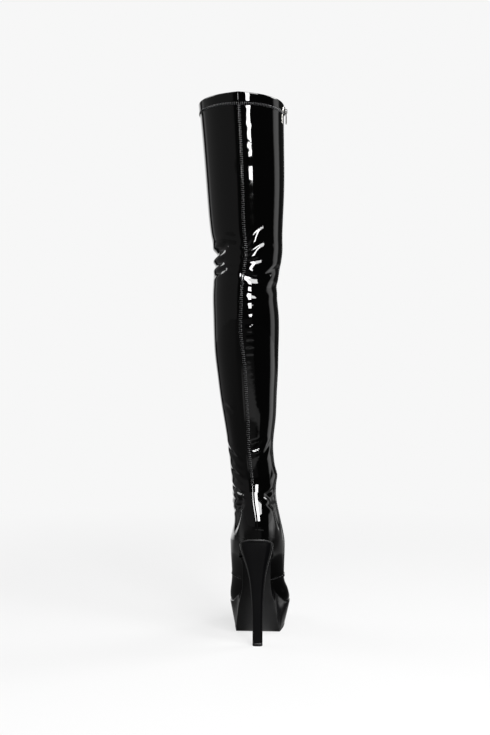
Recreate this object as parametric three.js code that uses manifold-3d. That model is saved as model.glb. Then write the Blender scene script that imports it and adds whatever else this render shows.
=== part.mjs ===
// A thigh-high platform boot for the left foot, standing empty on its heel and platform.
// Millimetres, +Z up, +Y towards the toe, +X towards the inside of the leg.
// The origin is on the floor at the middle of the heel's tread.

import * as THREE from "three";
import { mergeVertices } from "three/addons/utils/BufferGeometryUtils.js";
import Module from "manifold-3d";

const wasm = await Module();
wasm.setup();

// Overall sizes
const bootHeight = 792;
const seatHeight = 157;
const platformHeight = 38;
const toeReach = 195;
const heelOverhang = 21;
const ballWidth = 91.5;
const collarWidth = 125;
const collarDepth = 152;

// Walls, layers and the clearance between pieces
const clearance = 0.3;
const wall = 1.8;
const hemHeight = 15;
const hemStep = 0.8;
const soleThickness = 3;
const insoleThickness = 2.5;
const platformLedge = 2.2;

// Heel
const heelTopWidth = 49;
const heelTipWidth = 14.6;
const heelTipLength = 15;
const heelBreast = 31;
const heelSetback = 1.2;
const liftHeight = 4.5;

// Zip
const chainWidth = 5.6;
const chainProud = 1;
const tapeWidth = 22;
const tapeThickness = 0.8;
const stopLength = 6;
const sliderLength = 13;
const sliderWidth = 8.4;
const zipEndDrop = 2;
const zipFootShare = 0.351; // of the pitch above the platform
const pullLength = 19;
const pullWidth = 5.4;
const pullThickness = 1.4;

// Mesh fineness
const ringSides = 36;
const halvings = 40;
const heelSides = 20;

const shaftRise = bootHeight - seatHeight;
const pitch = seatHeight - platformHeight;

// Sections of the leg, all level. up is a share of the rise from the heel seat to the collar,
// back and front are shares of the collar's depth, centre and half are shares of its width.
const legColumns = ["up", "back", "front", "centre", "half"];
const legTable = [
  [1.0, -0.263, 0.737, -0.208, 0.5],
  [0.91, -0.25, 0.711, -0.184, 0.48],
  [0.8, -0.23, 0.664, -0.16, 0.458],
  [0.698, -0.211, 0.605, -0.144, 0.422],
  [0.644, -0.204, 0.566, -0.122, 0.394],
  [0.573, -0.224, 0.526, -0.16, 0.375],
  [0.509, -0.25, 0.52, -0.148, 0.384],
  [0.433, -0.224, 0.5, -0.142, 0.376],
  [0.376, -0.184, 0.48, -0.13, 0.357],
  [0.321, -0.145, 0.467, -0.12, 0.332],
  [0.265, -0.105, 0.461, -0.105, 0.302],
  [0.202, -0.059, 0.467, -0.096, 0.264],
  [0.139, -0.033, 0.507, -0.064, 0.262],
];

const legSquare = 0.95;

// Sections of the foot, from the ankle to the toe. Each lies across a line from a point on the
// heel or under the sole to a point on the instep. Lengths forward are shares of the toe's reach,
// heights are shares of the pitch above the platform, and widths are shares of the ball's width.
// widest is where along that line the section is widest. Its ends are rounder as their
// squareness nears 1 and flatter below it. swing is how far the back end moves to the inside.
const footColumns = [
  "lowY", "lowZ", "highY", "highZ", "centre", "half", "widest", "lowSquare", "highSquare", "swing",
];
const footTable = [
  [-0.044, 1.571, 0.426, 1.521, -0.077, 0.348, 0.5, 0.95, 0.95, 0.01],
  [-0.072, 1.429, 0.456, 1.37, -0.071, 0.353, 0.52, 0.92, 0.95, 0.02],
  [-0.103, 1.294, 0.487, 1.244, -0.049, 0.361, 0.56, 0.88, 0.95, 0.03],
  [-0.121, 1.168, 0.513, 1.126, -0.033, 0.377, 0.6, 0.82, 0.95, 0.03],
  [-0.118, 1.05, 0.538, 1.025, -0.033, 0.407, 0.63, 0.78, 0.95, 0.03],
  [-0.087, 0.924, 0.559, 0.933, -0.039, 0.435, 0.65, 0.75, 0.95, 0.03],
  [-0.01, 0.849, 0.579, 0.857, -0.044, 0.448, 0.66, 0.72, 0.95, 0.02],
  [0.082, 0.765, 0.6, 0.782, -0.046, 0.45, 0.66, 0.72, 0.95, 0.015],
  [0.195, 0.664, 0.621, 0.706, -0.047, 0.448, 0.63, 0.8, 0.95, 0.005],
  [0.287, 0.517, 0.644, 0.622, -0.048, 0.444, 0.6, 0.88, 0.95, 0],
  [0.369, 0.37, 0.667, 0.538, -0.049, 0.439, 0.55, 0.88, 0.95, 0],
  [0.441, 0.223, 0.687, 0.466, -0.049, 0.442, 0.5, 0.78, 0.95, 0],
  [0.497, 0.092, 0.708, 0.403, -0.044, 0.462, 0.45, 0.72, 0.95, 0],
  [0.549, -0.008, 0.728, 0.353, -0.033, 0.49, 0.42, 0.65, 0.92, 0],
  [0.615, -0.084, 0.759, 0.298, -0.026, 0.505, 0.4, 0.6, 0.9, 0],
  [0.697, -0.097, 0.8, 0.256, -0.024, 0.503, 0.38, 0.6, 0.88, 0],
  [0.779, -0.092, 0.851, 0.223, -0.022, 0.47, 0.38, 0.6, 0.88, 0],
  [0.856, -0.067, 0.903, 0.193, -0.005, 0.399, 0.4, 0.62, 0.88, 0],
  [0.918, -0.029, 0.949, 0.164, 0.027, 0.301, 0.42, 0.66, 0.9, 0],
  [0.964, 0.017, 0.982, 0.13, 0.055, 0.186, 0.45, 0.7, 0.95, 0],
];
const toeTip = { y: 1.0, z: 0.08, x: 0.071 };
const toeClose = 0.86; // how far the last section closes in on the toe's tip

// The last's bottom edge seen from the side, in the same shares as the foot's sections.
const featherTable = [
  [-0.118, 1.008],
  [-0.051, 0.968],
  [0, 0.935],
  [0.051, 0.897],
  [0.103, 0.853],
  [0.154, 0.794],
  [0.205, 0.721],
  [0.256, 0.637],
  [0.308, 0.542],
  [0.359, 0.439],
  [0.41, 0.332],
  [0.462, 0.225],
  [0.513, 0.126],
  [0.564, 0.049],
  [0.605, 0.013],
  [0.646, 0.001],
  [0.692, -0.002],
  [0.769, 0.003],
  [0.846, 0.019],
  [0.923, 0.049],
  [1.01, 0.088],
];

// The wedge that rises from the platform under the arch. feather is a place along the feather
// line as a share of the toe's reach, deep is the wedge's depth there at right angles to that
// line as a share of the platform's height, and narrow is how much of the feather's width is
// left at the tread.
const wedgeColumns = ["feather", "deep", "narrow"];
const wedgeTable = [
  [0.235, 0.026, 1.0],
  [0.27, 0.079, 1.0],
  [0.31, 0.171, 1.0],
  [0.36, 0.316, 1.02],
  [0.41, 0.5, 1.08],
  [0.46, 0.711, 1.1],
];

// The tread in front of the wedge. tread and height are where each section meets the outsole's
// underside, as shares of the toe's reach and of the platform's height.
const treadColumns = ["feather", "tread", "height", "narrow"];
const treadTable = [
  [0.505, 0.356, 0.71, 1.0],
  [0.54, 0.377, 0.29, 0.93],
  [0.562, 0.397, 0.074, 0.88],
  [0.582, 0.428, 0, 0.85],
  [0.605, 0.477, 0, 0.835],
  [0.64, 0.554, 0, 0.825],
  [0.7, 0.656, 0, 0.82],
  [0.78, 0.754, 0.01, 0.82],
  [0.85, 0.83, 0.07, 0.82],
  [0.905, 0.885, 0.13, 0.81],
  [0.945, 0.922, 0.175, 0.8],
  [0.972, 0.945, 0.205, 0.78],
  [0.989, 0.96, 0.225, 0.75],
];
const seatRows = [-0.1, -0.094, -0.08, -0.06, -0.03, 0.02, 0.08, 0.14, 0.2];

// The heel block, level sections. up is a share of the seat's height, back, front and half are
// shares of the heel's top length and width, and shift is how far it leans to the outside.
const heelColumns = ["up", "back", "front", "half", "shift"];
const heelTable = [
  [0.0, 0, 0, 0, 0],
  [0.13, 0.02, 0.01, 0, 0],
  [0.287, 0.1, 0.04, 0.03, 0],
  [0.446, 0.24, 0.1, 0.1, 0.002],
  [0.605, 0.44, 0.23, 0.25, 0.004],
  [0.7, 0.6, 0.42, 0.42, 0.01],
  [0.764, 0.7, 0.6, 0.58, 0.015],
  [0.828, 0.8, 0.77, 0.77, 0.022],
  [0.892, 0.9, 0.91, 0.94, 0.028],
  [0.943, 0.97, 0.98, 1.0, 0.03],
  [1.02, 1.0, 1.0, 1.0, 0.03],
];
const heelWidest = 0.35;
const heelBackSquare = 0.45;
const heelFrontSquare = 0.85;

// The ankle seam seen from the side, in the shares that the foot's sections use.
const seamTable = [
  [-0.4, 1.57],
  [-0.041, 1.563],
  [0.051, 1.479],
  [0.154, 1.387],
  [0.256, 1.353],
  [0.385, 1.361],
  [0.513, 1.412],
  [1.2, 1.45],
];

// Colours
const patentBlack = 0x0a0a0b;
const coverBlack = 0x101011;
const rubberBlack = 0x151515;
const boardBlack = 0x1c1b1a;
const tapeBlack = 0x121213;
const metalGrey = 0x9a9ca0;

const forward = (share) => share * toeReach;
const above = (share) => platformHeight + share * pitch;

// A smooth curve through rows of numbers, one row per whole step of its parameter.
function smoothRow(rows, at) {
  const last = rows.length - 1;
  const start = Math.min(Math.max(Math.floor(at), 0), last - 1);
  const part = Math.min(Math.max(at, 0), last) - start;
  const a = rows[Math.max(start - 1, 0)];
  const b = rows[start];
  const c = rows[start + 1];
  const d = rows[Math.min(start + 2, last)];
  const square = part * part;
  const cube = square * part;
  return b.map(
    (value, i) =>
      value +
      0.5 *
        ((c[i] - a[i]) * part +
          (2 * a[i] - 5 * value + 4 * c[i] - d[i]) * square +
          (3 * value - a[i] - 3 * c[i] + d[i]) * cube)
  );
}

// The value of a piecewise straight line of [position, value] pairs.
function lineValue(pairs, at) {
  let i = 1;
  while (i < pairs.length - 1 && pairs[i][0] < at) i += 1;
  const [x0, y0] = pairs[i - 1];
  const [x1, y1] = pairs[i];
  return y0 + ((y1 - y0) * (at - x0)) / (x1 - x0);
}

// Every section in millimetres, collar first, in one order of columns.
const sections = [
  ...legTable.map((row) => {
    const s = Object.fromEntries(legColumns.map((name, i) => [name, row[i]]));
    const level = seatHeight + s.up * shaftRise;
    const [back, front] = [s.back * collarDepth, s.front * collarDepth];
    const [centre, half] = [s.centre * collarWidth, s.half * collarWidth];
    return [back, level, front, level, centre, half, 0.5, legSquare, legSquare, 0];
  }),
  ...footTable.map((row) => {
    const s = Object.fromEntries(footColumns.map((name, i) => [name, row[i]]));
    return [
      forward(s.lowY),
      above(s.lowZ),
      forward(s.highY),
      above(s.highZ),
      s.centre * ballWidth,
      s.half * ballWidth,
      s.widest,
      s.lowSquare,
      s.highSquare,
      s.swing * ballWidth,
    ];
  }),
];
const lastSection = sections.length - 1;

// A point on the boot's outer surface. along counts sections down from the collar, and turn goes
// round each from the back (0) over the inside of the leg to the front (pi) and the outside.
function surfacePoint(along, turn) {
  const s = smoothRow(sections, along);
  const [lowY, lowZ, highY, highZ, centre, half, widest, lowSquare, highSquare, swing] = s;
  const round = Math.atan2(Math.sin(turn), Math.cos(turn));
  const side = round < 0 ? -1 : 1;
  const angle = Math.abs(round);
  const share = (1 - Math.cos(angle)) / 2;
  const widestAngle = Math.acos(1 - 2 * widest);
  const skew = (Math.PI / 2 - widestAngle) / Math.sin(widestAngle);
  const reach = Math.max(Math.sin(angle + skew * Math.sin(angle)), 0);
  const square = lowSquare + (highSquare - lowSquare) * share;
  const x = centre + side * half * reach ** square + swing * (1 - share) ** 3;
  return new THREE.Vector3(x, lowY + (highY - lowY) * share, lowZ + (highZ - lowZ) * share);
}

// The outward normal of that surface, from small steps along and round it.
function surfaceNormal(along, turn) {
  const step = 0.02;
  const before = surfacePoint(Math.max(along - step, 0), turn);
  const after = surfacePoint(Math.min(along + step, lastSection), turn);
  const left = surfacePoint(along, turn - 2 * step);
  const right = surfacePoint(along, turn + 2 * step);
  return after.sub(before).cross(right.sub(left)).normalize();
}

const skinPoint = (along, turn, outward) =>
  surfacePoint(along, turn).addScaledVector(surfaceNormal(along, turn), outward);

// A closed solid from three.js geometry, and back again.
function solidOf(geometry) {
  geometry.deleteAttribute("normal");
  geometry.deleteAttribute("uv");
  const merged = mergeVertices(geometry, 1e-4);
  const triVerts = new Uint32Array(merged.index.array);
  const vertProperties = merged.attributes.position.array;
  return new wasm.Manifold(new wasm.Mesh({ numProp: 3, vertProperties, triVerts }));
}

function geometryOf(solid) {
  const mesh = solid.getMesh();
  const geometry = new THREE.BufferGeometry();
  geometry.setAttribute("position", new THREE.BufferAttribute(new Float32Array(mesh.vertProperties), 3));
  geometry.setIndex(new THREE.BufferAttribute(new Uint32Array(mesh.triVerts), 1));
  return geometry;
}

// A closed solid through rings of points, all of one count, closed by a flat face at each end.
function loft(rings) {
  const count = rings[0].length;
  const points = rings.flat();
  const faces = [];
  for (let i = 0; i + 1 < rings.length; i += 1) {
    for (let j = 0; j < count; j += 1) {
      const a = i * count + j;
      const b = i * count + ((j + 1) % count);
      faces.push(a, b, b + count, a, b + count, a + count);
    }
  }
  const addCap = (first, flip) => {
    const middle = new THREE.Vector3();
    for (let j = 0; j < count; j += 1) middle.addScaledVector(points[first + j], 1 / count);
    points.push(middle);
    for (let j = 0; j < count; j += 1) {
      const a = first + j;
      const b = first + ((j + 1) % count);
      faces.push(points.length - 1, flip ? b : a, flip ? a : b);
    }
  };
  const lastRing = (rings.length - 1) * count;
  addCap(0, true);
  addCap(lastRing, false);
  const geometry = new THREE.BufferGeometry().setFromPoints(points);
  geometry.setIndex(faces);
  const solid = solidOf(geometry);
  if (solid.volume() > 0) return solid;
  const turned = [];
  for (let i = 0; i < faces.length; i += 3) turned.push(faces[i], faces[i + 2], faces[i + 1]);
  geometry.setIndex(turned);
  return solidOf(geometry);
}

// A prism across the boot from an outline of [y, z] points.
function sidePrism(outline, halfSpan = 2 * collarWidth) {
  const shape = new THREE.Shape(outline.map(([y, z]) => new THREE.Vector2(y, z)));
  const geometry = new THREE.ExtrudeGeometry(shape, { depth: 2 * halfSpan, bevelEnabled: false });
  geometry.translate(0, 0, -halfSpan);
  const toSide = new THREE.Matrix4().makeBasis(
    new THREE.Vector3(0, 1, 0),
    new THREE.Vector3(0, 0, 1),
    new THREE.Vector3(1, 0, 0)
  );
  geometry.applyMatrix4(toSide);
  return solidOf(geometry);
}

// The feather line as [y, z] points in millimetres, lowered at right angles by a depth.
const featherRows = featherTable.map(([y, z]) => [forward(y), above(z)]);
const featherPoint = (at) => smoothRow(featherRows, at);
function featherPlace(y) {
  let low = 0;
  let high = featherRows.length - 1;
  for (let i = 0; i < halvings; i += 1) {
    const middle = (low + high) / 2;
    if (featherPoint(middle)[0] < y) low = middle;
    else high = middle;
  }
  return low;
}
const featherHeight = (y) => featherPoint(featherPlace(y))[1];
function featherDown(y) {
  const place = featherPlace(y);
  const before = featherPoint(place - 0.05);
  const after = featherPoint(place + 0.05);
  const run = new THREE.Vector2(after[0] - before[0], after[1] - before[1]).normalize();
  return [run.y, -run.x];
}
function loweredFeather(y, depth) {
  const down = featherDown(y);
  return [y + down[0] * depth, featherHeight(y) + down[1] * depth];
}
const featherFirst = featherRows[0][0];
const featherLast = featherRows[featherRows.length - 1][0];
const featherSteps = 2 * featherRows.length;
function featherOutline(depth) {
  const points = [];
  for (let i = 0; i <= featherSteps; i += 1) {
    points.push(loweredFeather(featherFirst + ((featherLast - featherFirst) * i) / featherSteps, depth));
  }
  return points;
}

// Everything below the feather line lowered by a depth, and everything above it.
const farUnder = -2 * platformHeight;
const farUp = 2 * bootHeight;
const farOut = 2 * toeReach;
function underFeather(depth) {
  const edge = featherOutline(depth);
  const back = edge[0];
  const front = edge[edge.length - 1];
  const under = [[farOut, front[1]], [farOut, farUnder], [-farOut, farUnder], [-farOut, back[1]]];
  return sidePrism([...edge, ...under]);
}
function overFeather(depth) {
  const edge = featherOutline(depth);
  const back = edge[0];
  const front = edge[edge.length - 1];
  const over = [[farOut, front[1]], [farOut, farUp], [-farOut, farUp], [-farOut, back[1]]];
  return sidePrism([...edge, ...over]);
}

// The whole boot as one solid, grown outward or shrunk inward, and carried past the collar.
function bootForm(outward, pastCollar) {
  const ringAt = (along, out, lift) => {
    const ring = [];
    for (let i = 0; i < ringSides; i += 1) {
      const point = skinPoint(along, (2 * Math.PI * i) / ringSides, out);
      point.z += lift;
      ring.push(point);
    }
    return ring;
  };
  const rings = [];
  if (pastCollar > 0) rings.push(ringAt(0, outward, pastCollar));
  for (let along = 0; along <= lastSection; along += 1) rings.push(ringAt(along, outward, 0));
  const tip = new THREE.Vector3(toeTip.x * ballWidth, forward(toeTip.y) + outward, above(toeTip.z));
  const lastRing = rings[rings.length - 1];
  rings.push(lastRing.map((point) => point.clone().lerp(tip, toeClose)));
  return loft(rings);
}

// The section counted from the collar at which a line down the boot has a given height. The line
// is the back of the leg unless a turn is given for each section.
function alongAtHeight(height, turnAt = () => 0, last = legTable.length) {
  let low = 0;
  let high = last;
  for (let i = 0; i < halvings; i += 1) {
    const middle = (low + high) / 2;
    if (surfacePoint(middle, turnAt(middle)).z > height) low = middle;
    else high = middle;
  }
  return low;
}

// The turned hem at the collar: a band that stands out by its step.
function hemBand() {
  const bottom = alongAtHeight(bootHeight - hemHeight);
  const rings = [0, bottom].map((along) => {
    const ring = [];
    for (let i = 0; i < ringSides; i += 1) {
      ring.push(skinPoint(along, (2 * Math.PI * i) / ringSides, hemStep));
    }
    return ring;
  });
  return loft(rings);
}

// The zip runs down the widest line of the inside of the leg.
const zipTurn = (along) => Math.acos(1 - 2 * smoothRow(sections, along)[6]);
const zipTop = alongAtHeight(bootHeight - zipEndDrop);
const zipFoot = alongAtHeight(above(zipFootShare), zipTurn, lastSection);

// A point beside the zip's middle line, across the wall's surface and outward from it.
function besideZip(along, across, outward) {
  const turn = zipTurn(along);
  const step = 0.02;
  const span = surfacePoint(along, turn + step).distanceTo(surfacePoint(along, turn - step));
  return skinPoint(along, turn + (across * 2 * step) / span, outward);
}

// A strip along the zip with a rectangular section, stepped where the wall's sections are.
function zipStrip(from, to, halfWidth, inner, outer, crossSteps = 1, past = 0) {
  const places = [from];
  for (let whole = Math.floor(from) + 1; whole < to; whole += 1) places.push(whole);
  places.push(to);
  const rings = places.map((along, i) => {
    const lift = i === 0 ? past : 0;
    const ring = [];
    for (let j = 0; j <= crossSteps; j += 1) {
      ring.push(besideZip(along, halfWidth * ((2 * j) / crossSteps - 1), outer));
    }
    for (let j = crossSteps; j >= 0; j -= 1) {
      ring.push(besideZip(along, halfWidth * ((2 * j) / crossSteps - 1), inner));
    }
    ring.forEach((point) => {
      point.z += lift;
    });
    return ring;
  });
  return loft(rings);
}

// The length of one section step along the zip, to turn millimetres into sections.
function alongPerMillimetre(along) {
  const step = 0.05;
  return (2 * step) / besideZip(along + step, 0, 0).distanceTo(besideZip(along - step, 0, 0));
}

// The feather line's outline seen from above: where the last's sides meet its bottom. It closes
// round the seat's back and the toe a little past the ends of its sections.
const endRound = 0.5;
const backRound = 0.3;
function featherSide(side) {
  const edge = [];
  const overBottom = (along, turn) => {
    const point = surfacePoint(along, side * turn);
    return point.z - featherHeight(point.y);
  };
  const steps = 10 * (footTable.length - 4);
  for (let i = 0; i <= steps; i += 1) {
    const along = lastSection - (steps - i) / 10;
    if (overBottom(along, 0) > 0) continue;
    let low = 0;
    let high = zipTurn(along);
    for (let j = 0; j < halvings; j += 1) {
      const middle = (low + high) / 2;
      if (overBottom(along, middle) < 0) low = middle;
      else high = middle;
    }
    const point = surfacePoint(along, side * high);
    if (edge.length === 0 || point.y > edge[edge.length - 1][0]) edge.push([point.y, point.x]);
  }
  const back = edge[0];
  edge.unshift([back[0] - endRound, back[1] * backRound]);
  edge.push([forward(toeTip.y) + endRound, toeTip.x * ballWidth]);
  return edge;
}
const insideEdge = featherSide(1);
const outsideEdge = featherSide(-1);
const insideAt = (y) => lineValue(insideEdge, y);
const outsideAt = (y) => lineValue(outsideEdge, y);

// Sole sections from the back of the seat to the toe. Each has its place on the feather line,
// its place on the tread, and the outline's two sides at the top and at the tread.
const seatLedge = 0.5;
const seatSections = seatRows.map((share) => {
  const y = forward(share);
  const [treadY, treadZ] = loweredFeather(y, clearance + soleThickness);
  const inside = insideAt(y) + seatLedge;
  const outside = outsideAt(y) - seatLedge;
  return { y, treadY, treadZ, inside, outside, treadInside: inside, treadOutside: outside };
});
const platformRows = [
  ...wedgeTable.map((row) => {
    const s = Object.fromEntries(wedgeColumns.map((name, k) => [name, row[k]]));
    const depth = soleThickness + 2 * clearance + s.deep * platformHeight;
    return [forward(s.feather), ...loweredFeather(forward(s.feather), depth), s.narrow];
  }),
  ...treadTable.map((row) => {
    const s = Object.fromEntries(treadColumns.map((name, k) => [name, row[k]]));
    return [forward(s.feather), forward(s.tread), s.height * platformHeight, s.narrow];
  }),
];
const ledgeRows = 8; // sections over which the ledge grows from the seat's to the platform's
const platformSections = platformRows.map(([y, treadY, treadZ, narrow], i) => {
  const ledge = seatLedge + (platformLedge - seatLedge) * Math.min(i / ledgeRows, 1);
  const inside = insideAt(y) + ledge;
  const outside = outsideAt(y) - ledge;
  const middle = (inside + outside) / 2;
  const half = ((inside - outside) / 2) * narrow;
  return { y, treadY, treadZ, inside, outside, treadInside: middle + half, treadOutside: middle - half };
});
const soleSections = [...seatSections, ...platformSections];

// The tread line's upward normal at a section. Where the tread lies on the floor it is straight up.
const treadFlat = 0.01;
function treadUp(i) {
  const before = soleSections[Math.max(i - 1, 0)];
  const after = soleSections[Math.min(i + 1, soleSections.length - 1)];
  const run = new THREE.Vector2(after.treadY - before.treadY, after.treadZ - before.treadZ).normalize();
  return [-run.y, run.x];
}
function raisedTread(i, height) {
  const up = treadUp(i);
  const s = soleSections[i];
  if (s.treadZ < treadFlat * platformHeight) return [s.treadY, s.treadZ + height];
  return [s.treadY + up[0] * height, s.treadZ + up[1] * height];
}

// The outsole: a sheet of one thickness along the whole tread line.
function outsoleSolid() {
  const rings = soleSections.map((s, i) => {
    const [topY, topZ] = raisedTread(i, soleThickness);
    return [
      new THREE.Vector3(s.treadInside, topY, topZ),
      new THREE.Vector3(s.treadOutside, topY, topZ),
      new THREE.Vector3(s.treadOutside, s.treadY, s.treadZ),
      new THREE.Vector3(s.treadInside, s.treadY, s.treadZ),
    ];
  });
  return loft(rings);
}

// The platform: from the outsole's top to the last, with sides that lean in to the tread.
const lipDrop = 0.08;
const lipInset = 1.2;
function platformSolid() {
  const rings = platformSections.map((s, k) => {
    const [lowY, lowZ] = raisedTread(seatSections.length + k, soleThickness + clearance);
    const [topY, topZ] = loweredFeather(s.y, clearance);
    const at = (down, inset, side) => {
      const wide = side > 0 ? s.inside : s.outside;
      const narrow = side > 0 ? s.treadInside : s.treadOutside;
      const x = wide + (narrow - wide) * down - side * inset;
      return new THREE.Vector3(x, topY + (lowY - topY) * down, topZ + (lowZ - topZ) * down);
    };
    const side = (turn) => [at(0, lipInset, turn), at(lipDrop, 0, turn), at(1, 0, turn)];
    return [...side(1), ...side(-1).reverse()];
  });
  return loft(rings);
}

// The heel block and the lift under it, from one set of level sections.
function heelRing(row, level) {
  const s = Object.fromEntries(heelColumns.map((name, i) => [name, row[i]]));
  const tipHalf = heelTipLength / 2;
  const back = -tipHalf - s.back * (heelOverhang - heelSetback - tipHalf);
  const front = tipHalf + s.front * (heelBreast - tipHalf);
  const half = (heelTipWidth + s.half * (heelTopWidth - heelTipWidth)) / 2;
  const widestAngle = Math.acos(1 - 2 * heelWidest);
  const skew = (Math.PI / 2 - widestAngle) / Math.sin(widestAngle);
  const ring = [];
  for (let i = 0; i < heelSides; i += 1) {
    const turn = (2 * Math.PI * i) / heelSides;
    const side = turn > Math.PI ? -1 : 1;
    const angle = side > 0 ? turn : 2 * Math.PI - turn;
    const share = (1 - Math.cos(angle)) / 2;
    const reach = Math.max(Math.sin(angle + skew * Math.sin(angle)), 0);
    const square = heelBackSquare + (heelFrontSquare - heelBackSquare) * share;
    const x = side * half * reach ** square - s.shift * heelTopWidth;
    ring.push(new THREE.Vector3(x, back + (front - back) * share, level));
  }
  return ring;
}
function heelSolid() {
  const start = liftHeight + clearance;
  const rings = heelTable.map((row, i) => heelRing(row, i === 0 ? start : row[0] * seatHeight));
  return loft(rings).intersect(underFeather(soleThickness + 2 * clearance));
}
const liftSolid = () => loft([heelRing(heelTable[0], 0), heelRing(heelTable[0], liftHeight)]);

// The wall of the boot, open at the collar and underneath, with the zip's slot cut in it.
const outerForm = bootForm(0, 0).add(hemBand());
const innerForm = bootForm(-wall, 2 * wall);
const slot = zipStrip(0, zipFoot, chainWidth / 2 + clearance, -2 * wall, 2 * wall + hemStep, 1, 2 * wall);
const wallSolid = outerForm.subtract(innerForm).subtract(underFeather(0)).subtract(slot);

const seamLine = seamTable.map(([y, z]) => [forward(y), above(z)]);
const overSeam = sidePrism([
  ...seamLine.map(([y, z]) => [y, z + clearance / 2]),
  [seamLine[seamLine.length - 1][0], farUp],
  [seamLine[0][0], farUp],
]);
const underSeam = sidePrism([
  ...seamLine.map(([y, z]) => [y, z - clearance / 2]),
  [seamLine[seamLine.length - 1][0], farUnder],
  [seamLine[0][0], farUnder],
]);

const insoleSolid = bootForm(-(wall + clearance), 0)
  .intersect(overFeather(0))
  .intersect(underFeather(-insoleThickness));

// The zip's parts in the slot.
const perMillimetre = alongPerMillimetre(zipFoot - 0.2);
const stopTop = zipFoot - stopLength * perMillimetre;
const endGap = clearance * perMillimetre;
const chainSolid = zipStrip(zipTop, stopTop - endGap, chainWidth / 2, -wall, chainProud);
const stopSolid = zipStrip(stopTop, zipFoot - endGap, chainWidth / 2, -wall, 2 * chainProud);
const tapeSeat = wall + clearance;
const tapeSolid = bootForm(-tapeSeat, 0)
  .subtract(bootForm(-(tapeSeat + tapeThickness), wall))
  .intersect(zipStrip(zipTop, zipFoot, tapeWidth / 2, -3 * wall, wall, 4));

// The slider and its pull stand in a frame on the chain: X outward, Z up along the zip.
const sliderDrop = 1;
const sliderAlong = alongAtHeight(bootHeight - zipEndDrop - sliderDrop - sliderLength / 2);
const sliderPlace = besideZip(sliderAlong, 0, chainProud + clearance);
const sliderTaper = 0.72;
const sliderCorner = 1.2;
const bodyThickness = 1.8;
const bridgeOpening = 2.1;
const bridgeThickness = 0.8;
const bridgeWidth = 2.8;
const bridgeReach = 3.4;
const bridgeLeg = 0.8;
const pivotOut = bodyThickness + bridgeOpening / 2;

// A plate from an outline in the frame's [z, x] plane, extruded across the zip.
function acrossPlate(shape, width) {
  const geometry = new THREE.ExtrudeGeometry(shape, { depth: width, bevelEnabled: false });
  geometry.translate(0, 0, -width / 2);
  const toFrame = new THREE.Matrix4().makeBasis(
    new THREE.Vector3(0, 0, 1),
    new THREE.Vector3(1, 0, 0),
    new THREE.Vector3(0, 1, 0)
  );
  geometry.applyMatrix4(toFrame);
  return solidOf(geometry);
}

// A plate from an outline in the frame's [y, z] plane, extruded outward from a height.
function outwardPlate(shape, from, thickness) {
  const geometry = new THREE.ExtrudeGeometry(shape, { depth: thickness, bevelEnabled: false });
  geometry.translate(0, 0, from);
  const toFrame = new THREE.Matrix4().makeBasis(
    new THREE.Vector3(0, 1, 0),
    new THREE.Vector3(0, 0, 1),
    new THREE.Vector3(1, 0, 0)
  );
  geometry.applyMatrix4(toFrame);
  return solidOf(geometry);
}

const rectangle = (x0, y0, x1, y1) =>
  new THREE.Shape([
    new THREE.Vector2(x0, y0),
    new THREE.Vector2(x1, y0),
    new THREE.Vector2(x1, y1),
    new THREE.Vector2(x0, y1),
  ]);

function sliderSolid() {
  const halfLength = sliderLength / 2;
  const halfTop = sliderWidth / 2;
  const halfFoot = (sliderWidth / 2) * sliderTaper;
  const corner = sliderCorner;
  const outline = new THREE.Shape([
    new THREE.Vector2(-halfFoot, -halfLength),
    new THREE.Vector2(halfFoot, -halfLength),
    new THREE.Vector2(halfTop, halfLength - 3 * corner),
    new THREE.Vector2(halfTop, halfLength - corner),
    new THREE.Vector2(halfTop - corner, halfLength),
    new THREE.Vector2(-halfTop + corner, halfLength),
    new THREE.Vector2(-halfTop, halfLength - corner),
    new THREE.Vector2(-halfTop, halfLength - 3 * corner),
  ]);
  const body = outwardPlate(outline, 0, bodyThickness);
  const openingTop = bodyThickness + bridgeOpening;
  const bridgeTop = openingTop + bridgeThickness;
  const bridgeOutline = rectangle(-bridgeReach, bodyThickness / 2, bridgeReach, bridgeTop);
  const openReach = bridgeReach - bridgeLeg;
  const openOutline = rectangle(-openReach, bodyThickness, openReach, openingTop);
  const bridge = acrossPlate(bridgeOutline, bridgeWidth);
  return body.add(bridge.subtract(acrossPlate(openOutline, 2 * bridgeWidth)));
}

// The pull tab: a bar in the bridge, two arms beside it and a tapered plate below.
const pullTaper = 0.8;
const pullCorner = 0.9;
const pullSwingRoom = 1.2;
function pullSolid() {
  const half = pullWidth / 2;
  const windowHalf = bridgeWidth / 2 + clearance;
  const windowFoot = -(bridgeReach + pullSwingRoom);
  const barHalf = pullThickness / 2;
  const footHalf = half * pullTaper;
  const outline = new THREE.Shape([
    new THREE.Vector2(-half, barHalf),
    new THREE.Vector2(-footHalf, -pullLength + pullCorner),
    new THREE.Vector2(-footHalf + pullCorner, -pullLength),
    new THREE.Vector2(footHalf - pullCorner, -pullLength),
    new THREE.Vector2(footHalf, -pullLength + pullCorner),
    new THREE.Vector2(half, barHalf),
  ]);
  const opening = new THREE.Path([
    new THREE.Vector2(-windowHalf, -barHalf),
    new THREE.Vector2(-windowHalf, windowFoot),
    new THREE.Vector2(windowHalf, windowFoot),
    new THREE.Vector2(windowHalf, -barHalf),
  ]);
  outline.holes.push(opening);
  return outwardPlate(outline, -barHalf, pullThickness);
}

// The scene: one named mesh for each piece.
const boot = new THREE.Group();

function addPiece(name, solid, colour, roughness, metalness, parent = boot) {
  const material = new THREE.MeshStandardMaterial({ color: colour, roughness, metalness });
  const mesh = new THREE.Mesh(geometryOf(solid), material);
  mesh.name = name;
  parent.add(mesh);
  return mesh;
}

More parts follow.
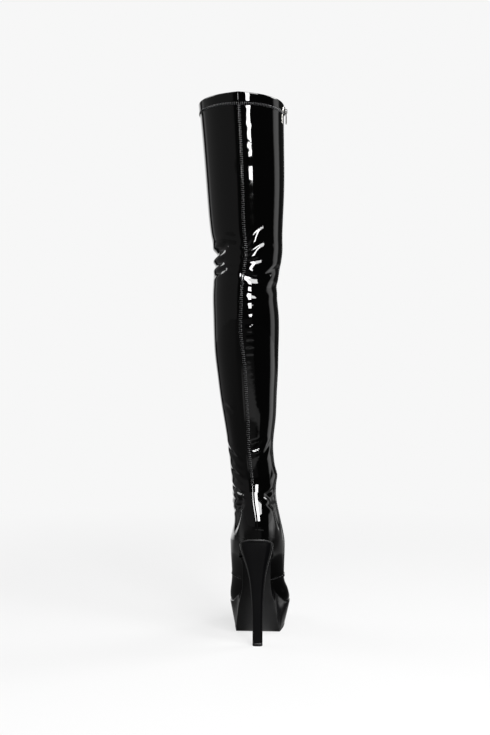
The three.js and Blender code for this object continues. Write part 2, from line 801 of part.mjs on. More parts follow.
addPiece("outsole", outsoleSolid(), rubberBlack, 0.6, 0);
addPiece("platform", platformSolid(), coverBlack, 0.25, 0);
addPiece("heel", heelSolid(), coverBlack, 0.3, 0);
addPiece("heel_lift", liftSolid(), rubberBlack, 0.6, 0);
addPiece("insole", insoleSolid, boardBlack, 0.7, 0);
addPiece("upper", wallSolid.intersect(underSeam), patentBlack, 0.08, 0);
addPiece("shaft", wallSolid.intersect(overSeam), patentBlack, 0.08, 0);
addPiece("zip_tape", tapeSolid, tapeBlack, 0.8, 0);
addPiece("zip_chain", chainSolid, tapeBlack, 0.5, 0);
addPiece("zip_stop", stopSolid, metalGrey, 0.3, 1);

const sliderFrame = new THREE.Group();
sliderFrame.position.copy(sliderPlace);
boot.add(sliderFrame);
addPiece("zip_slider", sliderSolid(), metalGrey, 0.3, 1, sliderFrame);
const pull = addPiece("zip_pull", pullSolid(), metalGrey, 0.25, 1, sliderFrame);
pull.position.set(pivotOut, 0, 0);

export default boot;
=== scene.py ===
# A black patent thigh-high boot, left foot, standing empty in a pale studio.
# Sizes are in millimetres in the boot's own frame and are turned to metres as meshes are made.

import math

import bmesh
import bpy
import numpy as np
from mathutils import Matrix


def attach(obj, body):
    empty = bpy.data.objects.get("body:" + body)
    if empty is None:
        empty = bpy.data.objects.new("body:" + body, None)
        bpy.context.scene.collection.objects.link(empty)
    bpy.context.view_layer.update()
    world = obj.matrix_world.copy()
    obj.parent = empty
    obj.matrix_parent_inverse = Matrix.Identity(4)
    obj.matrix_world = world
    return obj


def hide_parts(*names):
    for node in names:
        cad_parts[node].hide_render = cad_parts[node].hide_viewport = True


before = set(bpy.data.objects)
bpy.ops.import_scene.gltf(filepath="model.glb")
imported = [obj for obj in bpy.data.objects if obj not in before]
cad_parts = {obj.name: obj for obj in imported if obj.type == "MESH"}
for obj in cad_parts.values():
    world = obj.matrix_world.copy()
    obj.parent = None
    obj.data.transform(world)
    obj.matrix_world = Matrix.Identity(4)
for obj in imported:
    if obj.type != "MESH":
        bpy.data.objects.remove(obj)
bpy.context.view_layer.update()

METRES = 0.001

# Overall sizes, as in the frame's own construction
BOOT_HEIGHT = 792.0
SEAT_HEIGHT = 157.0
PLATFORM_HEIGHT = 38.0
TOE_REACH = 195.0
BALL_WIDTH = 91.5
COLLAR_WIDTH = 125.0
COLLAR_DEPTH = 152.0
HEEL_OVERHANG = 21.0

# Walls, layers and the clearance between pieces
CLEARANCE = 0.3
WALL = 1.8
HEM_HEIGHT = 15.0
HEM_STEP = 0.8
SOLE_THICKNESS = 3.0
INSOLE_THICKNESS = 2.5
PLATFORM_LEDGE = 2.2
SEAT_LEDGE = 0.5

# Heel
HEEL_TOP_WIDTH = 49.0
HEEL_TIP_WIDTH = 14.6
HEEL_TIP_LENGTH = 15.0
HEEL_BREAST = 31.0
HEEL_SETBACK = 1.2
LIFT_HEIGHT = 4.5

# Zip
CHAIN_WIDTH = 5.6
CHAIN_PROUD = 1.0
TAPE_WIDTH = 22.0
TAPE_THICKNESS = 0.8
ZIP_END_DROP = 2.0
ZIP_FOOT_SHARE = 0.351
STOP_LENGTH = 6.0
SLIDER_LENGTH = 13.0
SLIDER_WIDTH = 8.4
SLIDER_DROP = 1.0
SLIDER_BODY = 1.8
BRIDGE_OPENING = 2.1
BRIDGE_THICKNESS = 0.8
BRIDGE_WIDTH = 2.8
BRIDGE_REACH = 3.4
PULL_LENGTH = 19.0
PULL_WIDTH = 5.4
PULL_THICKNESS = 1.4

SHAFT_RISE = BOOT_HEIGHT - SEAT_HEIGHT
PITCH = SEAT_HEIGHT - PLATFORM_HEIGHT

# Level sections of the leg: rise from the seat, then back and front as shares of the collar's
# depth, and centre and half width as shares of its width.
LEG = [
    (1.0, -0.263, 0.737, -0.208, 0.5),
    (0.91, -0.25, 0.711, -0.184, 0.48),
    (0.8, -0.23, 0.664, -0.16, 0.458),
    (0.698, -0.211, 0.605, -0.144, 0.422),
    (0.644, -0.204, 0.566, -0.122, 0.394),
    (0.573, -0.224, 0.526, -0.16, 0.375),
    (0.509, -0.25, 0.52, -0.148, 0.384),
    (0.433, -0.224, 0.5, -0.142, 0.376),
    (0.376, -0.184, 0.48, -0.13, 0.357),
    (0.321, -0.145, 0.467, -0.12, 0.332),
    (0.265, -0.105, 0.461, -0.105, 0.302),
    (0.202, -0.059, 0.467, -0.096, 0.264),
    (0.139, -0.033, 0.507, -0.064, 0.262),
]

# Sections of the foot across a line from the sole side to the instep: that line's two ends,
# centre and half width, where it is widest, the squareness of its ends, and the back's swing.
FOOT = [
    (-0.044, 1.571, 0.426, 1.521, -0.077, 0.348, 0.5, 0.95, 0.95, 0.01),
    (-0.072, 1.429, 0.456, 1.37, -0.071, 0.353, 0.52, 0.92, 0.95, 0.02),
    (-0.103, 1.294, 0.487, 1.244, -0.049, 0.361, 0.56, 0.88, 0.95, 0.03),
    (-0.121, 1.168, 0.513, 1.126, -0.033, 0.377, 0.6, 0.82, 0.95, 0.03),
    (-0.118, 1.05, 0.538, 1.025, -0.033, 0.407, 0.63, 0.78, 0.95, 0.03),
    (-0.087, 0.924, 0.559, 0.933, -0.039, 0.435, 0.65, 0.75, 0.95, 0.03),
    (-0.01, 0.849, 0.579, 0.857, -0.044, 0.448, 0.66, 0.72, 0.95, 0.02),
    (0.082, 0.765, 0.6, 0.782, -0.046, 0.45, 0.66, 0.72, 0.95, 0.015),
    (0.195, 0.664, 0.621, 0.706, -0.047, 0.448, 0.63, 0.8, 0.95, 0.005),
    (0.287, 0.517, 0.644, 0.622, -0.048, 0.444, 0.6, 0.88, 0.95, 0),
    (0.369, 0.37, 0.667, 0.538, -0.049, 0.439, 0.55, 0.88, 0.95, 0),
    (0.441, 0.223, 0.687, 0.466, -0.049, 0.442, 0.5, 0.78, 0.95, 0),
    (0.497, 0.092, 0.708, 0.403, -0.044, 0.462, 0.45, 0.72, 0.95, 0),
    (0.549, -0.008, 0.728, 0.353, -0.033, 0.49, 0.42, 0.65, 0.92, 0),
    (0.615, -0.084, 0.759, 0.298, -0.026, 0.505, 0.4, 0.6, 0.9, 0),
    (0.697, -0.097, 0.8, 0.256, -0.024, 0.503, 0.38, 0.6, 0.88, 0),
    (0.779, -0.092, 0.851, 0.223, -0.022, 0.47, 0.38, 0.6, 0.88, 0),
    (0.856, -0.067, 0.903, 0.193, -0.005, 0.399, 0.4, 0.62, 0.88, 0),
    (0.918, -0.029, 0.949, 0.164, 0.027, 0.301, 0.42, 0.66, 0.9, 0),
    (0.964, 0.017, 0.982, 0.13, 0.055, 0.186, 0.45, 0.7, 0.95, 0),
]
# A section of the leg is widest halfway and nearly round, with no swing.
LEG_SHAPE = (0.5, 0.95, 0.95, 0.0)
TOE_TIP = (0.071 * BALL_WIDTH, TOE_REACH, PLATFORM_HEIGHT + 0.08 * PITCH)

# The last's bottom edge from the side, forward and up.
FEATHER = [
    (-0.118, 1.008),
    (-0.051, 0.968),
    (0, 0.935),
    (0.051, 0.897),
    (0.103, 0.853),
    (0.154, 0.794),
    (0.205, 0.721),
    (0.256, 0.637),
    (0.308, 0.542),
    (0.359, 0.439),
    (0.41, 0.332),
    (0.462, 0.225),
    (0.513, 0.126),
    (0.564, 0.049),
    (0.605, 0.013),
    (0.646, 0.001),
    (0.692, -0.002),
    (0.769, 0.003),
    (0.846, 0.019),
    (0.923, 0.049),
    (1.01, 0.088),
]

# The ankle seam from the side, forward and up.
ANKLE_SEAM = [
    (-0.4, 1.57),
    (-0.041, 1.563),
    (0.051, 1.479),
    (0.154, 1.387),
    (0.256, 1.353),
    (0.385, 1.361),
    (0.513, 1.412),
    (1.2, 1.45),
]


# The wedge under the arch: place on the feather line, depth at right angles to it as a share of
# the platform's height, and the share of the feather's width that is left at the tread.
WEDGE = [
    (0.235, 0.026, 1.0),
    (0.27, 0.079, 1.0),
    (0.31, 0.171, 1.0),
    (0.36, 0.316, 1.02),
    (0.41, 0.5, 1.08),
    (0.46, 0.711, 1.1),
]

# The tread in front of it: place on the feather line, then place, height and width on the tread.
TREAD = [
    (0.505, 0.356, 0.71, 1.0),
    (0.54, 0.377, 0.29, 0.93),
    (0.562, 0.397, 0.074, 0.88),
    (0.582, 0.428, 0, 0.85),
    (0.605, 0.477, 0, 0.835),
    (0.64, 0.554, 0, 0.825),
    (0.7, 0.656, 0, 0.82),
    (0.78, 0.754, 0.01, 0.82),
    (0.85, 0.83, 0.07, 0.82),
    (0.905, 0.885, 0.13, 0.81),
    (0.945, 0.922, 0.175, 0.8),
    (0.972, 0.945, 0.205, 0.78),
    (0.989, 0.96, 0.225, 0.75),
]

# Level sections of the heel: height as a share of the seat's, back, front and half width as
# shares of what they grow by from tip to seat, and the lean to the outside.
HEEL = [
    (0.0, 0, 0, 0, 0),
    (0.13, 0.02, 0.01, 0, 0),
    (0.287, 0.1, 0.04, 0.03, 0),
    (0.446, 0.24, 0.1, 0.1, 0.002),
    (0.605, 0.44, 0.23, 0.25, 0.004),
    (0.7, 0.6, 0.42, 0.42, 0.01),
    (0.764, 0.7, 0.6, 0.58, 0.015),
    (0.828, 0.8, 0.77, 0.77, 0.022),
    (0.892, 0.9, 0.91, 0.94, 0.028),
    (0.943, 0.97, 0.98, 1.0, 0.03),
    (1.02, 1.0, 1.0, 1.0, 0.03),
]
HEEL_WIDEST = 0.35
HEEL_BACK_SQUARE = 0.45
HEEL_FRONT_SQUARE = 0.85

# Folds of the empty shaft and foot. Each is a trough's width and depth, the height of the soft
# ridges beside it, and the points it runs through: degrees round from the back seam, inside of
# the leg positive, and height in millimetres.
FOLDS = [
    (5.0, 4.2, 1.6, [(-112, 572), (-85, 568), (-58, 571), (-30, 578)]),
    (3.6, 2.2, 1.0, [(-110, 549), (-88, 551), (-60, 553), (-36, 556)]),
    (3.0, 1.3, 0.5, [(-70, 583), (-44, 582), (-16, 577)]),
    (3.4, 1.2, 0.5, [(-80, 536), (-58, 539), (-30, 546)]),
    (2.6, 1.1, 0.5, [(-34, 549), (-24, 546), (-14, 541)]),
    (2.6, 1.1, 0.5, [(-26, 537), (-18, 532), (-12, 524)]),
    (3.2, 1.8, 0.4, [(-8, 569), (8, 587), (24, 604), (46, 613)]),
    (3.0, 1.8, 0.7, [(-8, 558), (10, 571), (26, 581), (48, 586)]),
    (3.0, 1.6, 0.7, [(-8, 547), (12, 554), (28, 558), (48, 561)]),
    (4.2, 1.9, 0.9, [(-8, 540), (12, 531), (34, 532), (62, 544), (92, 549)]),
    (5.0, 1.4, 0.6, [(40, 512), (70, 519), (100, 524)]),
    (9.0, 0.7, 0.0, [(-12, 690), (8, 688), (34, 690)]),
    (3.6, 0.9, 0.4, [(-62, 347), (-46, 345), (-32, 338)]),
    (3.4, 1.2, 0.5, [(-88, 292), (-64, 283), (-40, 273), (-16, 263)]),
    (3.0, 1.1, 0.5, [(-80, 258), (-56, 251), (-34, 245), (-14, 238)]),
    (3.4, 1.0, 0.5, [(34, 274), (48, 283), (66, 296)]),
    (3.0, 2.2, 0.8, [(2, 284), (20, 287), (42, 297)]),
    (2.6, 1.3, 0.6, [(-12, 219), (-38, 222), (-66, 228), (-94, 233)]),
    (2.8, 1.6, 0.7, [(-15, 214), (-40, 210), (-68, 210), (-96, 213)]),
    (2.8, 1.5, 0.7, [(-16, 210), (-40, 201), (-66, 195), (-92, 191)]),
    (3.4, 1.3, 0.6, [(22, 216), (44, 219), (74, 228)]),
    (3.4, 1.2, 0.6, [(26, 209), (50, 203), (80, 202)]),
    (7.0, 3.2, 0.5, [(-26, 216), (-40, 203), (-60, 182), (-76, 156)]),
    (7.0, 3.0, 0.6, [(26, 226), (56, 207), (74, 184), (84, 156)]),
    (9.0, -2.2, 0.0, [(58, 250), (84, 244), (112, 250)]),
    (6.0, 2.2, 0.9, [(130, 236), (180, 230), (230, 236)]),
    (5.0, 1.8, 0.8, [(140, 214), (180, 208), (220, 214)]),
    (7.0, 2.0, 0.8, [(140, 536), (180, 528), (220, 536)]),
]

# Ripples where the shaft's stretch fabric is gathered on the back seam: height, how far round
# they run to the inside, how much they rise on the way, and depth.
RIPPLES = [
    (768, 16, 8, 0.32),
    (741, 16, 10, 0.3),
    (724, 18, -8, 0.28),
    (707, 15, 5, 0.3),
    (650, 20, 5, 0.12),
    (618, 20, 6, 0.15),
    (508, 26, -4, 0.5),
    (493, 24, 2, 0.4),
    (479, 22, 3, 0.35),
    (464, 24, 4, 0.7),
    (449, 20, 3, 0.65),
    (438, 20, 2, 0.6),
    (428, 18, 2, 0.6),
    (419, 18, 1, 0.2),
    (300, 16, 3, 0.2),
]
RIPPLE_WIDTH = 3.0

# How the folds are laid on the wall: only heights this near a fold's own set its length, a fold
# beyond this many degrees runs over the front, and its ridges lie this far out, in its own widths.
FOLD_LEVELS = 60
OVER_FRONT = 125
FOLD_FADE = 0.6
RIDGE_PLACE = 1.9
RIDGE_WIDTH = 1.1


def spline(rows):
    """A natural cubic through rows of numbers, one row per whole step."""
    values = np.array(rows, dtype=float)
    count = len(values)
    system = np.zeros((count, count))
    right = np.zeros_like(values)
    system[0, 0] = system[-1, -1] = 1.0
    for i in range(1, count - 1):
        system[i, i - 1 : i + 2] = (1.0, 4.0, 1.0)
        right[i] = 6.0 * (values[i - 1] - 2.0 * values[i] + values[i + 1])
    bend = np.linalg.solve(system, right)

    def at(place):
        place = np.clip(np.asarray(place, dtype=float), 0.0, count - 1.0)
        start = np.clip(np.floor(place).astype(int), 0, count - 2)
        part = (place - start)[..., None]
        rest = 1.0 - part
        return (
            rest * values[start]
            + part * values[start + 1]
            + (rest**3 - rest) * bend[start] / 6.0
            + (part**3 - part) * bend[start + 1] / 6.0
        )

    return at


def forward(share):
    return share * TOE_REACH


def above(share):
    return PLATFORM_HEIGHT + share * PITCH


def leg_row(row):
    up, back, front, centre, half = row
    level = SEAT_HEIGHT + up * SHAFT_RISE
    depth = (back * COLLAR_DEPTH, level, front * COLLAR_DEPTH, level)
    return (*depth, centre * COLLAR_WIDTH, half * COLLAR_WIDTH, *LEG_SHAPE)


def foot_row(row):
    low_y, low_z, high_y, high_z, centre, half, widest, low_square, high_square, swing = row
    line = (forward(low_y), above(low_z), forward(high_y), above(high_z))
    shape = (widest, low_square, high_square, swing * BALL_WIDTH)
    return (*line, centre * BALL_WIDTH, half * BALL_WIDTH, *shape)


SECTIONS = [leg_row(row) for row in LEG] + [foot_row(row) for row in FOOT]
LAST = len(SECTIONS) - 1
section_at = spline(SECTIONS)
feather_at = spline([(forward(y), above(z)) for y, z in FEATHER])
FEATHER_LINE = feather_at(np.linspace(0, len(FEATHER) - 1, 400))
SEAM_LINE = np.array([(forward(y), above(z)) for y, z in ANKLE_SEAM])


def feather_height(y):
    return np.interp(y, FEATHER_LINE[:, 0], FEATHER_LINE[:, 1])


def seam_height(y):
    smooth = [np.interp(y + shift, SEAM_LINE[:, 0], SEAM_LINE[:, 1]) for shift in (-8, -4, 0, 4, 8)]
    return sum(smooth) / len(smooth)


def surface(along, turn):
    """Points of the outer wall. along counts sections from the collar, turn goes round from
    the back (0) over the inside of the leg to the front (pi)."""
    rows = section_at(along)
    low_y, low_z, high_y, high_z, centre, half, widest, low_sq, high_sq, swing = np.moveaxis(rows, -1, 0)
    wrapped = np.arctan2(np.sin(turn), np.cos(turn))
    side = np.where(wrapped < 0, -1.0, 1.0)
    angle = np.abs(wrapped)
    share = (1 - np.cos(angle)) / 2
    widest_angle = np.arccos(1 - 2 * widest)
    skew = (math.pi / 2 - widest_angle) / np.sin(widest_angle)
    reach = np.maximum(np.sin(angle + skew * np.sin(angle)), 0.0)
    square = low_sq + (high_sq - low_sq) * share
    x = centre + side * half * reach**square + swing * (1 - share) ** 3
    return np.stack([x, low_y + (high_y - low_y) * share, low_z + (high_z - low_z) * share], axis=-1)


def normal(along, turn):
    step = 0.02
    down = surface(np.minimum(along + step, LAST), turn) - surface(np.maximum(along - step, 0), turn)
    round_ = surface(along, turn + step) - surface(along, turn - step)
    across = np.cross(down, round_)
    return across / np.linalg.norm(across, axis=-1, keepdims=True)


def zip_turn(along):
    return np.arccos(1 - 2 * section_at(along)[..., 6])


def mm_per_turn(along, turn):
    step = 0.03
    return np.linalg.norm(surface(along, turn + step) - surface(along, turn - step), axis=-1) / (2 * step)


def bisect(low, high, is_low):
    """Halves the space between two arrays until it is closed."""
    for _ in range(40):
        middle = (low + high) / 2
        lower = is_low(middle)
        low = np.where(lower, middle, low)
        high = np.where(lower, high, middle)
    return (low + high) / 2


def along_at_height(height, turn_at=lambda along: 0.0 * along, last=float(len(LEG))):
    start = np.zeros(1)
    return float(bisect(start, start + last, lambda a: surface(a, turn_at(a))[..., 2] > height)[0])


def feather_turn(along):
    """How far round from the back the wall meets its bottom edge, 0 where it is all above it."""
    rows = section_at(along)
    low_y, low_z, high_y, high_z, widest = (rows[..., i] for i in (0, 1, 2, 3, 6))

    def under(share):
        y = low_y + (high_y - low_y) * share
        return low_z + (high_z - low_z) * share < feather_height(y)

    share = bisect(np.zeros_like(widest), widest, under)
    return np.where(under(np.zeros_like(widest)), np.arccos(1 - 2 * share), 0.0)


def smooth_step(value):
    value = np.clip(value, 0.0, 1.0)
    return value * value * (3 - 2 * value)


# The back seam's bend to the outside below the knee: how far, at which height and over how much.
SEAM_STRAY = 5.0
SEAM_STRAY_HEIGHT = 462
SEAM_STRAY_SPREAD = 38


def seam_shift(height):
    """How far the back seam strays from the middle line of the back, to the outside of the leg."""
    return -SEAM_STRAY * np.exp(-(((height - SEAM_STRAY_HEIGHT) / SEAM_STRAY_SPREAD) ** 2))


# Where the wall's bottom edge opens at the back of the seat, the turn up to which its rows lie
# close together from there, and how many sections on that is sure to be reached.
SEAT_OPENING = float(
    bisect(np.array([len(LEG) + 2.0]), np.array([len(LEG) + 7.0]), lambda a: feather_turn(a) == 0)[0]
)
CLOSE_TURN = 1.15
CLOSE_REACH = 3.0

ZIP_FOOT = along_at_height(above(ZIP_FOOT_SHARE), zip_turn, float(LAST))
ZIP_TOP = along_at_height(BOOT_HEIGHT - ZIP_END_DROP)
ZIP_ROUND = 0.14


def slot_half(along):
    """Half the width of the wall's slot for the zip. It closes in a round end at the zip's foot."""
    full = CHAIN_WIDTH / 2 + CLEARANCE
    left = np.clip((ZIP_FOOT - along) / ZIP_ROUND, 0.0, 1.0)
    return full * np.sqrt(1 - (1 - left) ** 2)


# Where columns of points lie beside the back seam and beside the zip's slot, millimetres.
SEAM_OFFSETS = (0.0, 0.5, 1.2, 2.4, 3.2, 4.2, 5.2, 6.4, 8.0, 11.0, 15.0)
ZIP_OFFSETS = (0.0, 0.35, 0.9, 1.7, 2.6, 4.0, 6.0)


def column_turns(along, columns):
    """The turn of each column. A column lies between two of the lines that run down the wall: the
    slot's front edge, the back seam reached from the outside, the back seam reached from the
    inside, and the slot's back edge, each with a distance from it in millimetres."""
    zip_line = zip_turn(along)
    per_zip = mm_per_turn(along, zip_line)
    per_back = mm_per_turn(along, 0.0)
    height = surface(along, 0.0)[..., 2]
    shift = seam_shift(height) / per_back
    opened = feather_turn(along)
    slot = slot_half(along)
    full = 2 * math.pi

    def line(kind, offset):
        return np.select(
            [kind == 0, kind == 1, kind == 2, kind == 3],
            [
                zip_line + (slot + offset) / per_zip,
                full + shift - opened - offset / per_back,
                shift + opened + offset / per_back,
                zip_line - (slot + offset) / per_zip,
            ],
        )

    start_kind, start_offset, end_kind, end_offset, part = columns.T
    start = line(start_kind, start_offset)
    end = line(end_kind, end_offset)
    return start + (end - start) * part


def front_columns(count):
    """From the slot's front edge over the front and the outside to the back seam."""
    near_zip = [(0, offset, 0, offset, 0.0) for offset in ZIP_OFFSETS]
    last_zip, last_seam = ZIP_OFFSETS[-1], SEAM_OFFSETS[-1]
    between = [(0, last_zip, 1, last_seam, k / count) for k in range(1, count)]
    near_seam = [(1, offset, 1, offset, 0.0) for offset in reversed(SEAM_OFFSETS)]
    return np.array(near_zip + between + near_seam)


def back_columns(count):
    """From the back seam over the inside of the leg to the slot's back edge."""
    near_seam = [(2, offset, 2, offset, 0.0) for offset in SEAM_OFFSETS]
    last_zip, last_seam = ZIP_OFFSETS[-1], SEAM_OFFSETS[-1]
    between = [(2, last_seam, 3, last_zip, k / count) for k in range(1, count)]
    near_zip = [(3, offset, 3, offset, 0.0) for offset in reversed(ZIP_OFFSETS)]
    return np.array(near_seam + between + near_zip)


def ankle_alongs(columns):
    """Where each column crosses the ankle seam."""
    count = len(columns)
    low = np.full(count, len(LEG) - 3.0)
    high = np.full(count, len(LEG) + 4.0)

    def over(along):
        points = surface(along, column_turns(along, columns))
        return points[..., 2] > seam_height(points[..., 1])

    return bisect(low, high, over)


def nearest_on_line(x, y, line):
    """Signed distance from a smooth line through a few points, and how far along it that is."""
    samples = spline(line)(np.linspace(0, len(line) - 1, 17))
    best = np.full(np.broadcast(x, y).shape, np.inf)
    signed = np.zeros_like(best)
    share = np.zeros_like(best)
    for k in range(len(samples) - 1):
        (x0, y0), (x1, y1) = samples[k], samples[k + 1]
        run_x, run_y = x1 - x0, y1 - y0
        length = math.hypot(run_x, run_y)
        part = np.clip(((x - x0) * run_x + (y - y0) * run_y) / length**2, 0, 1)
        off_x, off_y = x - x0 - part * run_x, y - y0 - part * run_y
        distance = np.hypot(off_x, off_y)
        closer = distance < best
        best = np.where(closer, distance, best)
        side = np.sign(run_x * off_y - run_y * off_x)
        signed = np.where(closer, side * distance, signed)
        share = np.where(closer, (k + part) / (len(samples) - 1), share)
    return signed, share


def fold_relief(turn, height, radius):
    """Troughs with a soft ridge on either side that fade out towards both ends."""
    turn, height, radius = np.broadcast_arrays(turn, height, radius)
    round_ = np.arctan2(np.sin(turn), np.cos(turn))
    total = np.zeros_like(turn)
    ripples = []
    for level, reach, rise, depth in RIPPLES:
        line = [(1, level), (reach / 2, level + rise / 3), (reach, level + rise)]
        ripples.append((RIPPLE_WIDTH, depth, 0.5 * depth, line))
    for width, depth, ridge, line in FOLDS + ripples:
        over_front = max(abs(degrees) for degrees, _ in line) > OVER_FRONT
        angle = np.where(round_ < 0, round_ + 2 * math.pi, round_) if over_front else round_
        middle = np.mean([level for _, level in line])
        near = np.abs(height - middle) < FOLD_LEVELS
        size = float(np.mean(radius[near])) if near.any() else 1.0
        path = [(math.radians(degrees) * size, level) for degrees, level in line]
        signed, share = nearest_on_line(angle * size, height, path)
        fade = np.sin(math.pi * share) ** FOLD_FADE
        trough = -depth * np.exp(-((signed / width) ** 2))
        sides = np.exp(-((np.abs(signed) - RIDGE_PLACE * width) ** 2) / (RIDGE_WIDTH * width) ** 2)
        total += fade * (trough + ridge * sides)
    return total


def add_node(tree, kind, inputs=(), **settings):
    """Adds a shader node with its settings. An input is a value, or the socket that feeds it."""
    made = tree.nodes.new("ShaderNode" + kind)
    for name, value in settings.items():
        setattr(made, name, value)
    for name, value in dict(inputs).items():
        if isinstance(value, bpy.types.NodeSocket):
            tree.links.new(value, made.inputs[name])
        else:
            made.inputs[name].default_value = value
    return made


def linear(hex_colour):
    """An sRGB hex colour as linear RGBA."""
    channels = [int(hex_colour[i : i + 2], 16) / 255 for i in (1, 3, 5)]
    return [c / 12.92 if c <= 0.04045 else ((c + 0.055) / 1.055) ** 2.4 for c in channels] + [1.0]


def new_material(name):
    material = bpy.data.materials.new(name)
    material.use_nodes = True
    material.node_tree.nodes.clear()
    return material, material.node_tree


def finish_material(material, tree, finish):
    """Closes a material with the shader that gives its surface."""
    shader = add_node(tree, "BsdfPrincipled", finish)
    add_node(tree, "OutputMaterial", {"Surface": shader.outputs["BSDF"]})
    return material


def fine_grain(tree, grain_mm, height_mm, detail=2.0, under=None):
    """A grain of a real size as bump, on top of a coarser one. Object coordinates are metres."""
    place = add_node(tree, "TexCoord")
    pattern = {"Vector": place.outputs["Object"], "Scale": 1 / (grain_mm * METRES), "Detail": detail}
    noise = add_node(tree, "TexNoise", pattern)
    inputs = {"Height": noise.outputs["Fac"], "Distance": height_mm * METRES}
    if under is not None:
        inputs["Normal"] = under.outputs["Normal"]
    return add_node(tree, "Bump", inputs)


def uneven_gloss(tree, grain_mm, low, high):
    """A roughness that drifts between two values over patches of a real size."""
    place = add_node(tree, "TexCoord")
    pattern = {"Vector": place.outputs["Object"], "Scale": 1 / (grain_mm * METRES), "Detail": 2.0}
    noise = add_node(tree, "TexNoise", pattern)
    drift = {"Value": noise.outputs["Fac"], "From Min": 0.3, "From Max": 0.7, "To Min": low, "To Max": high}
    return add_node(tree, "MapRange", drift).outputs["Result"]


def stretch_patent():
    """Stretch patent: a knit under a calendered polyurethane film. The film gives a mirror gloss
    over black, and the knit behind it a faint orange peel that ruffles long reflections."""
    material, tree = new_material("stretch_patent")
    peel = fine_grain(tree, grain_mm=6.0, height_mm=0.06, detail=1.0)
    knit = fine_grain(tree, grain_mm=1.1, height_mm=0.006, under=peel)
    smear = uneven_gloss(tree, grain_mm=45.0, low=0.03, high=0.06)
    finish = {
        "Base Color": linear("#020202"),
        "Roughness": smear,
        "IOR": 1.5,
        "Coat Weight": 0.3,
        "Coat Roughness": 0.02,
        "Coat IOR": 1.5,
        "Normal": knit.outputs["Normal"],
    }
    return finish_material(material, tree, finish)


def patent_wrap(name, low, high):
    """Patent sheet glued round a moulded block: flatter and a little duller than the stretched
    shaft, with a slow wobble where the glue has drawn it down."""
    material, tree = new_material(name)
    wobble = fine_grain(tree, grain_mm=9.0, height_mm=0.07, detail=1.0)
    fine = fine_grain(tree, grain_mm=0.9, height_mm=0.006, under=wobble)
    finish = {
        "Base Color": linear("#050506"),
        "Roughness": uneven_gloss(tree, 30.0, low, high),
        "IOR": 1.5,
        "Coat Weight": 0.25,
        "Coat Roughness": 0.08,
        "Normal": fine.outputs["Normal"],
    }
    return finish_material(material, tree, finish)


def sole_rubber():
    """Moulded thermoplastic rubber: matt charcoal with a fine spark-eroded grain."""
    material, tree = new_material("sole_rubber")
    grain = fine_grain(tree, grain_mm=0.8, height_mm=0.08, detail=4.0)
    finish = {
        "Base Color": linear("#0b0b0c"),
        "Roughness": uneven_gloss(tree, 20.0, 0.5, 0.66),
        "IOR": 1.52,
        "Normal": grain.outputs["Normal"],
    }
    return finish_material(material, tree, finish)


def top_piece_urethane():
    """Cast polyurethane heel tip: hard, semi-matt, with scuffs from the floor."""
    material, tree = new_material("top_piece_urethane")
    scuff = fine_grain(tree, grain_mm=2.2, height_mm=0.05, detail=5.0)
    finish = {
        "Base Color": linear("#141415"),
        "Roughness": uneven_gloss(tree, 4.0, 0.34, 0.5),
        "IOR": 1.5,
        "Normal": scuff.outputs["Normal"],
    }
    return finish_material(material, tree, finish)


# Pattern sizes in millimetres, and the ridges that a wave texture has in a length of one.
WALE_WIDTH = 1.2
SOCK_GRAIN = 1.5
YARN_WIDTH = 0.5
WAVE_RIDGES = 3.14


def tricot_lining():
    """Brushed nylon tricot: matt black with a soft sheen. Its wales are drawn 1.2 mm apart, two to
    three times their real width, so that they show."""
    material, tree = new_material("tricot_lining")
    place = add_node(tree, "TexCoord")
    scale = 1 / (WALE_WIDTH * METRES * WAVE_RIDGES)
    wales = {"Vector": place.outputs["Object"], "Scale": scale, "Distortion": 0.6}
    ribs = add_node(tree, "TexWave", wales, bands_direction="X")
    bump = add_node(tree, "Bump", {"Height": ribs.outputs["Fac"], "Distance": 0.12 * METRES})
    nap = fine_grain(tree, grain_mm=0.6, height_mm=0.1, under=bump)
    finish = {
        "Base Color": linear("#17171a"),
        "Roughness": 0.88,
        "IOR": 1.45,
        "Sheen Weight": 0.25,
        "Sheen Roughness": 0.4,
        "Normal": nap.outputs["Normal"],
    }
    return finish_material(material, tree, finish)


def insole_sock():
    """Coated sock over the board: dull black with a printed leather grain of about 1.5 mm."""
    material, tree = new_material("insole_sock")
    place = add_node(tree, "TexCoord")
    scale = 1 / (SOCK_GRAIN * METRES)
    cells = add_node(tree, "TexVoronoi", {"Vector": place.outputs["Object"], "Scale": scale})
    grain = add_node(tree, "Bump", {"Height": cells.outputs["Distance"], "Distance": 0.1 * METRES})
    finish = {
        "Base Color": linear("#1d1c1b"),
        "Roughness": uneven_gloss(tree, 15.0, 0.55, 0.7),
        "IOR": 1.45,
        "Normal": grain.outputs["Normal"],
    }
    return finish_material(material, tree, finish)


def woven_tape():
    """Woven polyester zip tape: dull, with a herringbone of yarns 0.5 mm wide, a ridge for every
    two of them."""
    material, tree = new_material("woven_tape")
    place = add_node(tree, "TexCoord")
    scale = 1 / (2 * YARN_WIDTH * METRES * WAVE_RIDGES)
    yarns = {"Vector": place.outputs["Object"], "Scale": scale}
    warp = add_node(tree, "TexWave", yarns, bands_direction="Z")
    weft = add_node(tree, "TexWave", yarns, bands_direction="DIAGONAL")
    both = {0: warp.outputs["Fac"], 1: weft.outputs["Fac"]}
    cloth = add_node(tree, "Math", both, operation="MAXIMUM")
    bump = add_node(tree, "Bump", {"Height": cloth.outputs["Value"], "Distance": 0.08 * METRES})
    finish = {
        "Base Color": linear("#121214"),
        "Roughness": 0.75,
        "IOR": 1.5,
        "Sheen Weight": 0.15,
        "Normal": bump.outputs["Normal"],
    }
    return finish_material(material, tree, finish)


